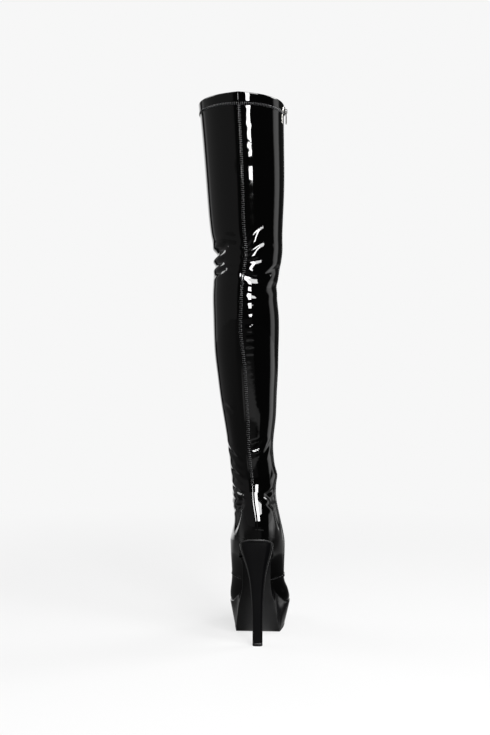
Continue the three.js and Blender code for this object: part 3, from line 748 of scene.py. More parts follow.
def nylon_coil():
    """Extruded nylon monofilament, coiled and set: smooth black teeth with a satin gleam."""
    material, tree = new_material("nylon_coil")
    drawn = fine_grain(tree, grain_mm=0.7, height_mm=0.02)
    finish = {
        "Base Color": linear("#141416"),
        "Roughness": uneven_gloss(tree, 6.0, 0.3, 0.42),
        "IOR": 1.53,
        "Normal": drawn.outputs["Normal"],
    }
    return finish_material(material, tree, finish)


def nickel_plate():
    """Die-cast zinc with dark nickel plate: a deep grey mirror, blurred a little by rubbing."""
    material, tree = new_material("nickel_plate")
    rub = fine_grain(tree, grain_mm=0.9, height_mm=0.012, detail=4.0)
    finish = {
        "Base Color": linear("#92908c"),
        "Metallic": 1.0,
        "Roughness": uneven_gloss(tree, 2.5, 0.1, 0.2),
        "Normal": rub.outputs["Normal"],
    }
    return finish_material(material, tree, finish)


def bonded_thread():
    """Bonded nylon sewing thread: black, twisted and waxed, so it has a narrow gleam where it
    crosses the mirror of the patent."""
    material, tree = new_material("bonded_thread")
    twist = fine_grain(tree, grain_mm=0.35, height_mm=0.04)
    finish = {
        "Base Color": linear("#222224"),
        "Roughness": 0.32,
        "IOR": 1.53,
        "Sheen Weight": 0.2,
        "Normal": twist.outputs["Normal"],
    }
    return finish_material(material, tree, finish)


PATENT = stretch_patent()
PLATFORM_WRAP = patent_wrap("platform_wrap", 0.1, 0.2)
HEEL_WRAP = patent_wrap("heel_wrap", 0.14, 0.26)
RUBBER = sole_rubber()
TOP_PIECE = top_piece_urethane()
LINING = tricot_lining()
SOCK = insole_sock()
TAPE = woven_tape()
COIL = nylon_coil()
NICKEL = nickel_plate()
THREAD = bonded_thread()

# Points of a piece that lie this near to one another are one, millimetres.
WELD_DISTANCE = 0.01


def make_piece(name, points, faces, materials, replaces=(), body="boot", inner_faces=0):
    """A smooth-shaded piece of the boot from points in millimetres. Its last inner_faces faces
    take the second material."""
    mesh = bpy.data.meshes.new(name)
    mesh.from_pydata((np.asarray(points) * METRES).tolist(), [], [tuple(map(int, f)) for f in faces])
    for material in materials:
        mesh.materials.append(material)
    if inner_faces:
        index = np.zeros(len(faces), dtype=np.int32)
        index[-inner_faces:] = 1
        mesh.polygons.foreach_set("material_index", index)
    mesh.validate()
    mesh.shade_smooth()
    piece = bpy.data.objects.new(name, mesh)
    bpy.context.collection.objects.link(piece)
    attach(piece, body)
    if replaces:
        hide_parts(*replaces)
    return piece


def edit_mesh(piece, change):
    """Runs one change on a piece's mesh."""
    mesh = bmesh.new()
    mesh.from_mesh(piece.data)
    change(mesh)
    mesh.to_mesh(piece.data)
    mesh.free()
    piece.data.shade_smooth()


def sharpen(mesh, degrees):
    """Keeps edges sharper than an angle crisp under smooth shading."""
    limit = math.radians(degrees)
    for edge in mesh.edges:
        if len(edge.link_faces) == 2:
            edge.smooth = edge.calc_face_angle(0.0) < limit


def finish_piece(piece, degrees, cap=False):
    """Joins points that lie together, closes open ends where asked, turns every face outward and
    keeps the sharp edges crisp."""

    def change(mesh):
        bmesh.ops.remove_doubles(mesh, verts=mesh.verts, dist=WELD_DISTANCE * METRES)
        if cap:
            open_edges = [edge for edge in mesh.edges if edge.is_boundary]
            bmesh.ops.holes_fill(mesh, edges=open_edges, sides=0)
        bmesh.ops.recalc_face_normals(mesh, faces=mesh.faces)
        sharpen(mesh, degrees)

    edit_mesh(piece, change)


def lerp(start, end, part):
    return start + (end - start) * part


def strip_faces(rows, columns, first=0, flip=False, closed=False):
    """Quads over a grid of points."""
    span = columns if closed else columns - 1
    faces = []
    for i in range(rows - 1):
        for j in range(span):
            a = first + i * columns + j
            b = first + i * columns + (j + 1) % columns
            quad = (a, a + columns, b + columns, b)
            faces.append(quad[::-1] if flip else quad)
    return faces


def capped_tube(grid):
    """Faces round a stack of rings, with a face over each end."""
    rows, columns = grid.shape[:2]
    faces = strip_faces(rows, columns, closed=True)
    faces.append(tuple(range(columns)))
    faces.append(tuple(reversed(range((rows - 1) * columns, rows * columns))))
    return faces


# A stitch or a tooth: sides round it, the places of its rings along it and their sizes, and how far
# it is sunk in, in its own radii.
ROD_SIDES = 6
ROD_PLACES = np.array([0.0, 0.06, 0.25, 0.5, 0.75, 0.94, 1.0])
ROD_SIZES = np.array([0.25, 0.75, 1.0, 1.0, 1.0, 0.75, 0.25])
ROD_SUNK = 0.35


def rod_mesh(starts, ends, ups, radius, lift=0.5):
    """Short round-ended rods, one for each pair of ends, humped a little towards ups."""
    starts, ends, ups = (np.asarray(v, dtype=float) for v in (starts, ends, ups))
    run = ends - starts
    length = np.linalg.norm(run, axis=1, keepdims=True)
    run = run / length
    side = np.cross(run, ups)
    side /= np.linalg.norm(side, axis=1, keepdims=True)
    top = np.cross(side, run)
    humps = lift * np.sin(math.pi * ROD_PLACES) - ROD_SUNK
    turns = 2 * math.pi * np.arange(ROD_SIDES) / ROD_SIDES
    points = []
    for place, size, hump in zip(ROD_PLACES, ROD_SIZES, humps):
        middle = starts + run * length * place + top * radius * hump
        for turn in turns:
            offset = side * math.cos(turn) + top * math.sin(turn)
            points.append(middle + offset * radius * size)
    points = np.stack(points, axis=1).reshape(len(starts), len(ROD_PLACES), ROD_SIDES, 3)
    return joined([(rod.reshape(-1, 3), capped_tube(rod)) for rod in points])


def joined(parts):
    """Several lots of points and faces as one."""
    points, faces, first = [], [], 0
    for part_points, part_faces in parts:
        points.append(np.asarray(part_points, dtype=float))
        faces += [tuple(i + first for i in face) for face in part_faces]
        first += len(part_points)
    return np.concatenate(points), faces


def shell_mesh(outer, inner, top=True, bottom=True, first_rim=None, last_rim=None):
    """A wall between two grids of points. The rims say which rows are closed at the sides."""
    rows, columns = outer.shape[:2]
    points = np.concatenate([outer.reshape(-1, 3), inner.reshape(-1, 3)])
    under = rows * columns
    outside = strip_faces(rows, columns)
    inside = strip_faces(rows, columns, under, flip=True)
    rims = []
    for row, wanted, flip in ((0, top, False), (rows - 1, bottom, True)):
        if wanted:
            for j in range(columns - 1):
                a, b = row * columns + j, row * columns + j + 1
                quad = (a, b, b + under, a + under)
                rims.append(quad[::-1] if flip else quad)
    for column, rim, flip in ((0, first_rim, True), (columns - 1, last_rim, False)):
        if rim is not None:
            for i in np.nonzero(rim)[0]:
                a, b = i * columns + column, (i + 1) * columns + column
                quad = (a, b, b + under, a + under)
                rims.append(quad[::-1] if flip else quad)
    return points, outside + rims, inside


def girth_radius(along):
    """The mean radius of the leg or foot at each place."""
    return (mm_per_turn(along, math.pi / 2) + mm_per_turn(along, 0.0) + mm_per_turn(along, math.pi)) / 3


# Relief beside the back seam: its crack's depth and width, and the dip's depth, where it starts
# and how far it takes on the outside, and the same on the inside.
CRACK_DEPTH = 0.2
CRACK_WIDTH = 0.5
DIP_DEPTH = 0.42
DIP_OUTSIDE = (6.6, 3.8)
DIP_INSIDE = (3.0, 12.0)


def past_back(turn, along):
    """Millimetres round from the middle line of the back, inside of the leg positive."""
    return np.arctan2(np.sin(turn), np.cos(turn)) * mm_per_turn(along, 0.0)


def back_seam_relief(turn, along, height):
    """The fabric dips into the back seam: steeply from the outside, gently from the inside."""
    across = past_back(turn, along) - seam_shift(height)
    start, reach = DIP_OUTSIDE
    outside = smooth_step((across + start) / reach)
    start, reach = DIP_INSIDE
    inside = 1 - smooth_step((across - start) / reach)
    return -CRACK_DEPTH * np.exp(-((across / CRACK_WIDTH) ** 2)) - DIP_DEPTH * outside * inside


# Over how much the hem's lower edge rises.
HEM_EDGE = 1.2


def hem_relief(height):
    """The turned hem: a band raised by its own step, with a rolled lower edge."""
    over = (height - (BOOT_HEIGHT - HEM_HEIGHT)) / HEM_EDGE
    return HEM_STEP * smooth_step(over + 0.5)


# The wall's folded edge beside the zip: how wide and thick it is, and how its brink rounds off.
ZIP_FOLD_WIDTH = 4.2
ZIP_FOLD_RISE = 0.35
ZIP_BRINK = 0.5
ZIP_BRINK_FALL = 0.3


def zip_edge_relief(turn, along):
    """The folded edge of the wall beside the zip, stitched down a little way in."""
    across = np.abs(turn - zip_turn(along)) * mm_per_turn(along, zip_turn(along)) - slot_half(along)
    rise = ZIP_FOLD_RISE * smooth_step(ZIP_FOLD_WIDTH - across)
    fall = ZIP_BRINK_FALL * smooth_step((ZIP_BRINK - across) / ZIP_BRINK)
    return np.where(along < ZIP_FOOT, rise - fall, 0.0)


def skin(along, turn, outward):
    return surface(along, turn) + normal(along, turn) * np.asarray(outward)[..., None]


# The collar's peak at the back seam: its rise, how wide it fades round the leg, and from which
# height on and over how much it comes in.
PEAK_RISE = 2.2
PEAK_SPREAD = 22.0
PEAK_FOOT = 750
PEAK_HEIGHT = 42


def collar_peak(turn, along, height):
    """The back seam is stiffer than the fabric beside it and stands a little above the collar."""
    across = np.abs(past_back(turn, along))
    return PEAK_RISE * np.exp(-across / PEAK_SPREAD) * smooth_step((height - PEAK_FOOT) / PEAK_HEIGHT)


# Steps over the collar's rolled rim, rows down the shaft, with three more just below the rim to
# keep it tight, the share of the wall's relief that shows on its inside, and from which angle on an
# edge of the patent stays crisp.
RIM_STEPS = 5
SHAFT_ROWS = 236
RIM_ROWS = [0.002, 0.004, 0.008]
INNER_RELIEF = 0.9
CREASE_DEGREES = 50


def shaft_grids(columns):
    """Outer and inner points of the shaft, from the collar's rolled rim to the ankle seam."""
    thickness = WALL + HEM_STEP
    first = along_at_height(BOOT_HEIGHT - thickness / 2)
    last = ankle_alongs(columns)
    part = np.sort(np.concatenate([np.linspace(0, 1, SHAFT_ROWS), RIM_ROWS]))[:, None]
    along = first + part * (last[None, :] - first)
    turn = column_turns(along, columns)
    height = surface(along, turn)[..., 2]
    relief = fold_relief(turn, height, girth_radius(along))
    edge = back_seam_relief(turn, along, height) + zip_edge_relief(turn, along) + hem_relief(height)
    outer = skin(along, turn, relief + edge)
    inner = skin(along, turn, relief * INNER_RELIEF - WALL)
    peak = collar_peak(turn, along, height)
    outer[..., 2] += peak
    inner[..., 2] += peak
    middle = (outer[0] + inner[0]) / 2
    rim_outer, rim_inner = [], []
    for k in range(RIM_STEPS, 0, -1):
        angle = math.pi / 2 * k / RIM_STEPS
        lift = np.array([0, 0, thickness / 2 * math.sin(angle)])
        rim_outer.append(lerp(middle, outer[0], math.cos(angle)) + lift)
        rim_inner.append(lerp(middle, inner[0], math.cos(angle)) + lift)
    return np.concatenate([rim_outer, outer]), np.concatenate([rim_inner, inner])


def make_shaft():
    columns = np.concatenate([front_columns(84), back_columns(34)[1:]])
    outer, inner = shaft_grids(columns)
    rim = np.ones(len(outer) - 1, dtype=bool)
    points, outside, inside = shell_mesh(outer, inner, top=False, first_rim=rim, last_rim=rim)
    skins = [PATENT, LINING]
    lined = len(inside)
    piece = make_piece("shaft_skin", points, outside + inside, skins, ["shaft"], inner_faces=lined)
    finish_piece(piece, CREASE_DEGREES)


# Where the quarters lap the vamp, seen from the side, forward and up, and how far above that the
# stitches run.
VAMP_SEAM = [(0.395, 0.335), (0.45, 0.35), (0.55, 0.372), (0.65, 0.388), (0.76, 0.40)]
VAMP_STITCH_RISE = 2.0

# The counter's back seam: its crack's depth and width, and the height, place and width of the
# welts beside it. The quarters' lap over the vamp: its rise, how far it thins out above its edge,
# and where it starts.
COUNTER_CRACK = (0.3, 0.6)
COUNTER_WELT = (0.18, 1.6, 0.9)
LAP_RISE = 0.5
LAP_REACH = 9.0
LAP_START = 0.33


def vamp_distance(points):
    """Height of a point above the line where the quarters lap the vamp, seen from the side."""
    line = np.array([(forward(y), above(z)) for y, z in VAMP_SEAM])
    return points[..., 2] - np.interp(points[..., 1], line[:, 0], line[:, 1])


def counter_relief(turn, along, points):
    """The counter's back seam, and the lapped edge of the quarters over the vamp."""
    across = past_back(turn, along)
    depth, width = COUNTER_CRACK
    crack = depth * np.exp(-((across / width) ** 2))
    rise, place, width = COUNTER_WELT
    welts = rise * np.exp(-(((np.abs(across) - place) / width) ** 2))
    back = np.where(feather_turn(along) > 0, 0.0, welts - crack)
    over_vamp = vamp_distance(points)
    starts = smooth_step((points[..., 1] - forward(LAP_START)) / 10)
    lap = smooth_step(over_vamp / 0.9 + 0.5) * smooth_step((LAP_REACH - over_vamp) / 8.0)
    return back + LAP_RISE * lap * starts


# Rows that close the toe, and where on the quarter of an ellipse they start.
TOE_ROWS = 12
TOE_START = math.radians(54)


def upper_alongs(columns):
    """Rows of the upper: close together where the bottom edge opens at the back of the seat."""
    top = ankle_alongs(columns)
    start, back_top = SEAT_OPENING, float(len(LEG))
    turns = np.linspace(0.0, CLOSE_TURN, 16)[1:]
    tries = np.linspace(start, start + CLOSE_REACH, 600)
    opened = start + np.interp(turns, feather_turn(tries), tries - start)
    before = np.linspace(back_top, start, 46)
    after = np.linspace(opened[-1], LAST, 92)[1:]
    rows = np.concatenate([before, opened, after])
    part = ((rows - back_top) / (LAST - back_top))[:, None]
    return top[None, :] + part * (LAST - top[None, :])


def toe_cap(ring, tip):
    """Rows that close the toe from its last ring as a quarter of an ellipse."""
    rows = []
    for k in range(1, TOE_ROWS + 1):
        angle = TOE_START + (math.pi / 2 - TOE_START) * k / TOE_ROWS
        shrink = math.cos(angle) / math.cos(TOE_START)
        ahead = (math.sin(angle) - math.sin(TOE_START)) / (1 - math.sin(TOE_START))
        row = tip + (ring - tip) * shrink
        row[:, 1] = ring[:, 1] + (tip[1] - ring[:, 1]) * ahead
        rows.append(row)
    return np.array(rows)


# The height below which the lasted foot has no folds, and over how much they come in.
FOLD_FOOT = 150
FOLD_FOOT_BLEND = 25


def upper_patch(columns):
    """One side of the upper's wall, closed along the zip's slot and along the bottom edge."""
    along = upper_alongs(columns)
    turn = column_turns(along, columns)
    points = surface(along, turn)
    height = points[..., 2]
    folds = fold_relief(turn, height, girth_radius(along))
    folds = folds * smooth_step((height - FOLD_FOOT) / FOLD_FOOT_BLEND)
    outer = skin(along, turn, folds + counter_relief(turn, along, points) + zip_edge_relief(turn, along))
    inner = skin(along, turn, folds * INNER_RELIEF - WALL)
    outer = np.concatenate([outer, toe_cap(outer[-1], np.array(TOE_TIP))])
    inner = np.concatenate([inner, toe_cap(inner[-1], np.array(TOE_TIP) - [0, WALL, 0])])
    zip_column = 0 if columns[0][0] == 0 else -1
    slot_open = slot_half(along[:, zip_column]) > 0.01
    bottom_open = feather_turn(along[:, -1 - zip_column]) > 0
    slot_rim = np.concatenate([slot_open, np.zeros(TOE_ROWS, dtype=bool)])[:-1]
    bottom_rim = np.concatenate([bottom_open, np.ones(TOE_ROWS, dtype=bool)])[:-1]
    first_rim, last_rim = (slot_rim, bottom_rim) if zip_column == 0 else (bottom_rim, slot_rim)
    return shell_mesh(outer, inner, bottom=False, first_rim=first_rim, last_rim=last_rim)


def make_upper():
    front_points, front_outside, front_inside = upper_patch(front_columns(70))
    back_points, back_outside, back_inside = upper_patch(back_columns(34))
    points, outside = joined([(front_points, front_outside), (back_points, back_outside)])
    _, inside = joined([(front_points, front_inside), (back_points, back_inside)])
    skins = [PATENT, LINING]
    lined = len(inside)
    piece = make_piece("upper_skin", points, outside + inside, skins, ["upper"], inner_faces=lined)
    finish_piece(piece, CREASE_DEGREES)


def feather_frame(y):
    """The feather line's height and its downward normal at a place, as (z, across y, across z)."""
    step = 0.4
    rise = (feather_height(y + step) - feather_height(y - step)) / (2 * step)
    size = np.hypot(1.0, rise)
    return feather_height(y), rise / size, -1 / size


def lowered(y, depth):
    z, across_y, across_z = feather_frame(y)
    return y + across_y * depth, z + across_z * depth


# Rows of the sole under the seat and arch, behind the wedge, the row that ends it at the toe, and
# over how many rows the ledge widens.
ARCH_ROWS = (-0.13, -0.1, -0.06, 0.0, 0.06, 0.12, 0.18, 0.21)
TOE_ROW = (1.012, 0.978, 0.24, 0.72)
LEDGE_ROWS = 8


def sole_rows():
    """Rows of the sole from the seat to the toe: feather place, tread place and height, the share
    of the width at the tread, and the ledge outside the feather line."""
    rows = []
    for share in ARCH_ROWS:
        y = forward(share)
        rows.append((y, *lowered(y, CLEARANCE + SOLE_THICKNESS), 1.0, SEAT_LEDGE))
    for k, (share, deep, narrow) in enumerate(WEDGE):
        y = forward(share)
        depth = SOLE_THICKNESS + 2 * CLEARANCE + deep * PLATFORM_HEIGHT
        ledge = lerp(SEAT_LEDGE, PLATFORM_LEDGE, k / LEDGE_ROWS)
        rows.append((y, *lowered(y, depth), narrow, ledge))
    for k, (share, tread, height, narrow) in enumerate([*TREAD, TOE_ROW]):
        ledge = lerp(SEAT_LEDGE, PLATFORM_LEDGE, min((k + len(WEDGE)) / LEDGE_ROWS, 1))
        rows.append((forward(share), forward(tread), height * PLATFORM_HEIGHT, narrow, ledge))
    return np.array(rows)


SOLE_TABLE = sole_rows()
SOLE_FINE = spline(SOLE_TABLE)(np.linspace(0, len(SOLE_TABLE) - 1, 1200))
PLATFORM_START = forward(WEDGE[0][0])


def sole_at(y):
    """Tread place, tread height, tread width and ledge under a place on the feather line."""
    order = SOLE_FINE[:, 0]
    tread_y, tread_z, narrow, ledge = (np.interp(y, order, SOLE_FINE[:, i]) for i in (1, 2, 3, 4))
    return tread_y, np.maximum(tread_z, 0.0), narrow, ledge


def feather_outline(count=150):
    """Points of the bottom edge's inside and outside, from the back of the seat to the toe."""
    tries = np.linspace(SEAT_OPENING, SEAT_OPENING + CLOSE_REACH, 900)
    near = np.interp(np.linspace(0.0, CLOSE_TURN, 22), feather_turn(tries), tries)
    along = np.concatenate([near, np.linspace(near[-1], LAST, count)[1:]])
    turn = feather_turn(along)
    inside, outside = surface(along, turn), surface(along, -turn)
    tip = np.array(TOE_TIP)
    inside = np.concatenate([inside, toe_cap(inside[-1:], tip)[:, 0]])
    outside = np.concatenate([outside, toe_cap(outside[-1:], tip)[:, 0]])
    return inside, outside


INSIDE_EDGE, OUTSIDE_EDGE = feather_outline()


def grown(edge, other, amount):
    """One side of the outline moved outward in plan, by an amount for each of its points."""
    loop = np.concatenate([edge, other[::-1][1:]])[:, :2]
    run = np.roll(loop, -1, axis=0) - np.roll(loop, 1, axis=0)
    out = np.stack([run[:, 1], -run[:, 0]], axis=1)
    out /= np.maximum(np.linalg.norm(out, axis=1, keepdims=True), 1e-9)
    centre = loop.mean(axis=0)
    middle = len(edge) // 2
    if np.dot(out[middle], loop[middle] - centre) < 0:
        out = -out
    out = out[: len(edge)]
    out[0] = (0, -1)
    out[-1] = (0, 1)
    moved = edge.copy()
    moved[:, :2] += out * amount[:, None]
    return moved


def sole_sides(inset):
    """Top outline and tread outline on both sides, drawn in by an inset."""
    tread_y, tread_z, narrow, ledge = sole_at(INSIDE_EDGE[:, 1])
    inside = grown(INSIDE_EDGE, OUTSIDE_EDGE, ledge - inset)
    outside = grown(OUTSIDE_EDGE, INSIDE_EDGE, ledge - inset)
    middle = (inside[:, 0] + outside[:, 0]) / 2
    sides = []
    for top in (inside, outside):
        past = top[:, 1] - INSIDE_EDGE[:, 1]
        tread = np.stack([middle + (top[:, 0] - middle) * narrow, tread_y + past, tread_z], axis=1)
        sides.append((top, tread))
    return sides


def tread_normal(tread):
    """The sole's own normal, up from the tread, and straight up where the tread lies flat."""
    run = np.gradient(tread[:, 1:], axis=0)
    run /= np.maximum(np.linalg.norm(run, axis=1, keepdims=True), 1e-9)
    up = np.stack([np.zeros(len(tread)), -run[:, 1], run[:, 0]], axis=1)
    flat = tread[:, 2] < 0.01 * PLATFORM_HEIGHT
    up[flat] = (0, 0, 1)
    return up


def sole_loops(levels, across):
    """Closed loops across a sole part: down its inside levels, over the last, up its outside levels
    and back over the first."""
    first, last = levels[0], levels[-1]
    parts = np.arange(1, across) / across
    lines = [level[0] for level in levels]
    lines += [lerp(last[0], last[1], part) for part in parts]
    lines += [level[1] for level in reversed(levels)]
    lines += [lerp(first[1], first[0], part) for part in parts]
    return np.stack(lines, axis=1)


# The outsole's edge, as shares of its thickness and millimetres drawn in.
OUTSOLE_EDGE = [(0.0, 0.9), (0.12, 0.35), (0.3, 0.08), (0.5, 0.0), (0.75, 0.0), (0.9, 0.12), (1.0, 0.55)]


def make_outsole():
    """A thin sheet with a rounded edge, from the heel seat down the arch and under the toe."""
    levels = []
    for share, inset in OUTSOLE_EDGE:
        sides = sole_sides(inset)
        levels.append([tread + tread_normal(tread) * SOLE_THICKNESS * share for _, tread in sides])
    grid = sole_loops(levels, 12)
    grid[..., 2] = np.maximum(grid[..., 2], 0.0)
    faces = strip_faces(*grid.shape[:2], closed=True)
    piece = make_piece("outsole_sheet", grid.reshape(-1, 3), faces, [RUBBER], ["outsole"])
    finish_piece(piece, 40, cap=True)


# The platform's rolled lip, as shares of the way down and millimetres drawn in, how far its wall
# swells halfway down, and how far its foot is drawn in.
PLATFORM_LIP = [(0.0, 1.5), (0.004, 0.85), (0.02, 0.35), (0.05, 0.08), (0.1, 0.0)]
PLATFORM_SWELL = 0.25
PLATFORM_FOOT_INSET = 0.6


def make_platform():
    """The covered block: a rolled lip under the upper, and a wall that leans in to the tread."""
    keep = INSIDE_EDGE[:, 1] > PLATFORM_START
    lip_foot = PLATFORM_LIP[-1][0]
    profile = list(PLATFORM_LIP)
    for down in np.linspace(lip_foot, 1.0, 12)[1:]:
        swell = math.sin(math.pi * (down - lip_foot) / (1 - lip_foot))
        profile.append((down, -PLATFORM_SWELL * swell))
    profile.append((1.0, PLATFORM_FOOT_INSET))
    levels = []
    for down, inset in profile:
        pair = []
        for top, tread in sole_sides(inset):
            base = tread + tread_normal(tread) * (SOLE_THICKNESS + CLEARANCE)
            y, z = lowered(top[:, 1], CLEARANCE)
            upper_edge = np.stack([top[:, 0], y, z], axis=1)
            pair.append(lerp(upper_edge, base, down)[keep])
        levels.append(pair)
    grid = sole_loops(levels, 10)
    points, faces = grid.reshape(-1, 3), strip_faces(*grid.shape[:2], closed=True)
    piece = make_piece("platform_cover", points, faces, [PLATFORM_WRAP], ["platform"])
    finish_piece(piece, 40, cap=True)


HEEL_LEVELS = spline(HEEL)(np.linspace(0, len(HEEL) - 1, 400))
HEEL_CROWDING = 0.42
HEEL_BACK_CROWDING = 0.16


def heel_points(height, turn):
    """Points of the heel's side by height and turn, back first, both in arrays."""
    level = height / SEAT_HEIGHT
    rows = [np.interp(level, HEEL_LEVELS[:, 0], HEEL_LEVELS[:, i]) for i in (1, 2, 3, 4)]
    back_grow, front_grow, half_grow, shift = rows
    tip = HEEL_TIP_LENGTH / 2
    back = -tip - back_grow * (HEEL_OVERHANG - HEEL_SETBACK - tip)
    front = tip + front_grow * (HEEL_BREAST - tip)
    half = (HEEL_TIP_WIDTH + half_grow * (HEEL_TOP_WIDTH - HEEL_TIP_WIDTH)) / 2
    side = np.where(turn > math.pi, -1.0, 1.0)
    angle = np.where(side > 0, turn, 2 * math.pi - turn)
    share = (1 - np.cos(angle)) / 2
    widest = math.acos(1 - 2 * HEEL_WIDEST)
    skew = (math.pi / 2 - widest) / math.sin(widest)
    reach = np.maximum(np.sin(angle + skew * np.sin(angle)), 0.0)
    square = HEEL_BACK_SQUARE + (HEEL_FRONT_SQUARE - HEEL_BACK_SQUARE) * share
    x = side * half * reach**square - shift * HEEL_TOP_WIDTH
    return np.stack([x, back + (front - back) * share, height + 0 * x], axis=-1)


def heel_turns():
    """Turns round the heel, closer together where its back face meets its sides."""
    part = np.linspace(0, math.pi, 42)
    half = part - HEEL_CROWDING * np.sin(2 * part) / 2 - HEEL_BACK_CROWDING * np.sin(part)
    return np.concatenate([half, 2 * math.pi - half[-2:0:-1]])


# The heel's foot: shares of its size at the rings of its underside, and the bevel round it. Its
# top: shares at the rings that close it under the seat.
HEEL_FOOT_RINGS = (0.93, 0.97)
HEEL_FOOT_BEVEL = 0.5
HEEL_TOP_RINGS = (0.85, 0.6, 0.3, 0.05)


def make_heel():
    turn = heel_turns()
    start = LIFT_HEIGHT + CLEARANCE
    fine = np.linspace(-2 * HEEL_OVERHANG, 2 * HEEL_BREAST, 400)
    under_y, under_z = lowered(fine, SOLE_THICKNESS + 2 * CLEARANCE)
    top = np.full(len(turn), SEAT_HEIGHT)
    for _ in range(30):
        top = 0.5 * top + 0.5 * np.interp(heel_points(top, turn)[:, 1], under_y, under_z)
    height = lerp(start, top[None, :], np.linspace(0, 1, 70)[:, None])
    side = heel_points(height, turn[None, :] + 0 * height)
    foot = [lerp(side[0].mean(axis=0), side[0], share) for share in HEEL_FOOT_RINGS]
    side[0, :, 2] = start + HEEL_FOOT_BEVEL
    cap = []
    for share in HEEL_TOP_RINGS:
        ring = lerp(side[-1].mean(axis=0), side[-1], share)
        ring[:, 2] = np.interp(ring[:, 1], under_y, under_z)
        cap.append(ring)
    grid = np.concatenate([foot, side, cap])
    points, faces = grid.reshape(-1, 3), capped_tube(grid)
    piece = make_piece("heel_block", points, faces, [HEEL_WRAP], ["heel"])
    finish_piece(piece, 60)


# The top piece's edge, as heights and millimetres drawn in.
LIFT_EDGE = [(0, 0.7), (0.25, 0.25), (0.7, 0.0), (LIFT_HEIGHT - 0.5, 0.0), (LIFT_HEIGHT, 0.35)]


def make_lift():
    """The hard top piece: the heel's own outline with a bevelled tread edge."""
    turn = heel_turns()
    base = heel_points(np.zeros(len(turn)), turn)
    rings = []
    for height, inset in LIFT_EDGE:
        ring = base * (1 - inset / (HEEL_TIP_WIDTH / 2))
        ring[:, 2] = height
        rings.append(ring)
    grid = np.array(rings)
    points, faces = grid.reshape(-1, 3), capped_tube(grid)
    piece = make_piece("heel_top_piece", points, faces, [TOP_PIECE], ["heel_lift"])
    finish_piece(piece, 40)


# The insole stays behind the toe's tip and off where it is narrower than this, is dished by this
# much along its middle, and its underside clears the feather line by a hair.
INSOLE_END = 0.97
INSOLE_NARROWEST = 4.0
INSOLE_DISH = 0.8
INSOLE_HAIR = 0.1


def make_insole():
    """The board inside, faced with its sock, slightly dished along its middle."""
    inset = np.full(len(INSIDE_EDGE), WALL + CLEARANCE)
    inside = grown(INSIDE_EDGE, OUTSIDE_EDGE, -inset)
    outside = grown(OUTSIDE_EDGE, INSIDE_EDGE, -inset)
    wide = inside[:, 0] - outside[:, 0] > INSOLE_NARROWEST
    keep = wide & (INSIDE_EDGE[:, 1] < forward(INSOLE_END))
    part = np.linspace(0, 1, 18)[None, :, None]
    flat = lerp(outside[keep][:, None, :], inside[keep][:, None, :], part)
    x, y = flat[..., 0], flat[..., 1]
    z, across_y, across_z = feather_frame(y)
    rise = INSOLE_THICKNESS - INSOLE_DISH * np.sin(math.pi * part[..., 0] + 0 * y)
    lower_y, lower_z = y - across_y * INSOLE_HAIR, z - across_z * INSOLE_HAIR
    lower = np.stack([x, lower_y, lower_z], axis=-1)
    upper = np.stack([x, y - across_y * rise, z - across_z * rise], axis=-1)
    rims = np.ones(len(lower) - 1, dtype=bool)
    points, outer_faces, inner_faces = shell_mesh(upper, lower, first_rim=rims, last_rim=rims)
    piece = make_piece("insole_board", points, outer_faces + inner_faces, [SOCK], ["insole"])
    finish_piece(piece, 40)


def distances(line):
    """How far each point of a line is from its start."""
    steps = np.linalg.norm(np.diff(line, axis=0), axis=1)
    return np.concatenate([[0.0], np.cumsum(steps)])


class Run:
    """A line down the wall, measured in millimetres from its top."""

    def __init__(self, top, foot, turn_at):
        self.along = np.linspace(top, foot, 3000)
        self.turn_at = turn_at
        self.distance = distances(surface(self.along, turn_at(self.along)))
        self.length = float(self.distance[-1])

    def along_at(self, distance):
        return np.interp(distance, self.distance, self.along)


def beside(run, distance, across, outward):
    """Points across the wall from a run, at distances down it and outward from the wall."""
    along = run.along_at(distance)
    turn = run.turn_at(along)
    turn = turn + across / mm_per_turn(along, turn)
    height = surface(along, turn)[..., 2]
    relief = fold_relief(turn, height, girth_radius(along))
    return skin(along, turn, outward + relief), normal(along, turn)


def seam_turn(along):
    return seam_shift(surface(along, 0.0 * along)[..., 2]) / mm_per_turn(along, 0.0)


ZIP_RUN = Run(ZIP_TOP, ZIP_FOOT, zip_turn)
SEAM_RUN = Run(along_at_height(BOOT_HEIGHT - 1.5), float(len(LEG)) - 0.02, seam_turn)

# Back seam: bars this far apart, each this far to both sides and leaning this much, and the thread.
ZIGZAG_PITCH = 3.0
ZIGZAG_REACH = 2.4
ZIGZAG_LEAN = 0.3
THREAD_RADIUS = 0.5


def make_seam_stitches():
    """The zigzag that closes the back seam, seen as one bar every few millimetres."""
    start = HEM_HEIGHT + 1.5
    count = int((SEAM_RUN.length - start - 2) / ZIGZAG_PITCH)
    places = start + ZIGZAG_PITCH * np.arange(count)
    lean = np.where(np.arange(count) % 2 == 0, ZIGZAG_LEAN, -ZIGZAG_LEAN)
    starts, ups = beside(SEAM_RUN, places - lean, -ZIGZAG_REACH, 0.1)
    ends, _ = beside(SEAM_RUN, places + lean, ZIGZAG_REACH, 0.1)
    points, faces = rod_mesh(starts, ends, ups, THREAD_RADIUS)
    make_piece("back_seam_zigzag", points, faces, [THREAD])


# Hem: the same, with the lean as a share of the pitch, and how far the row ends from the zip.
HEM_STITCH_PITCH = 3.1
HEM_STITCH_REACH = 2.0
HEM_STITCH_LEAN = 0.1
HEM_STITCH_GAP = 4.5


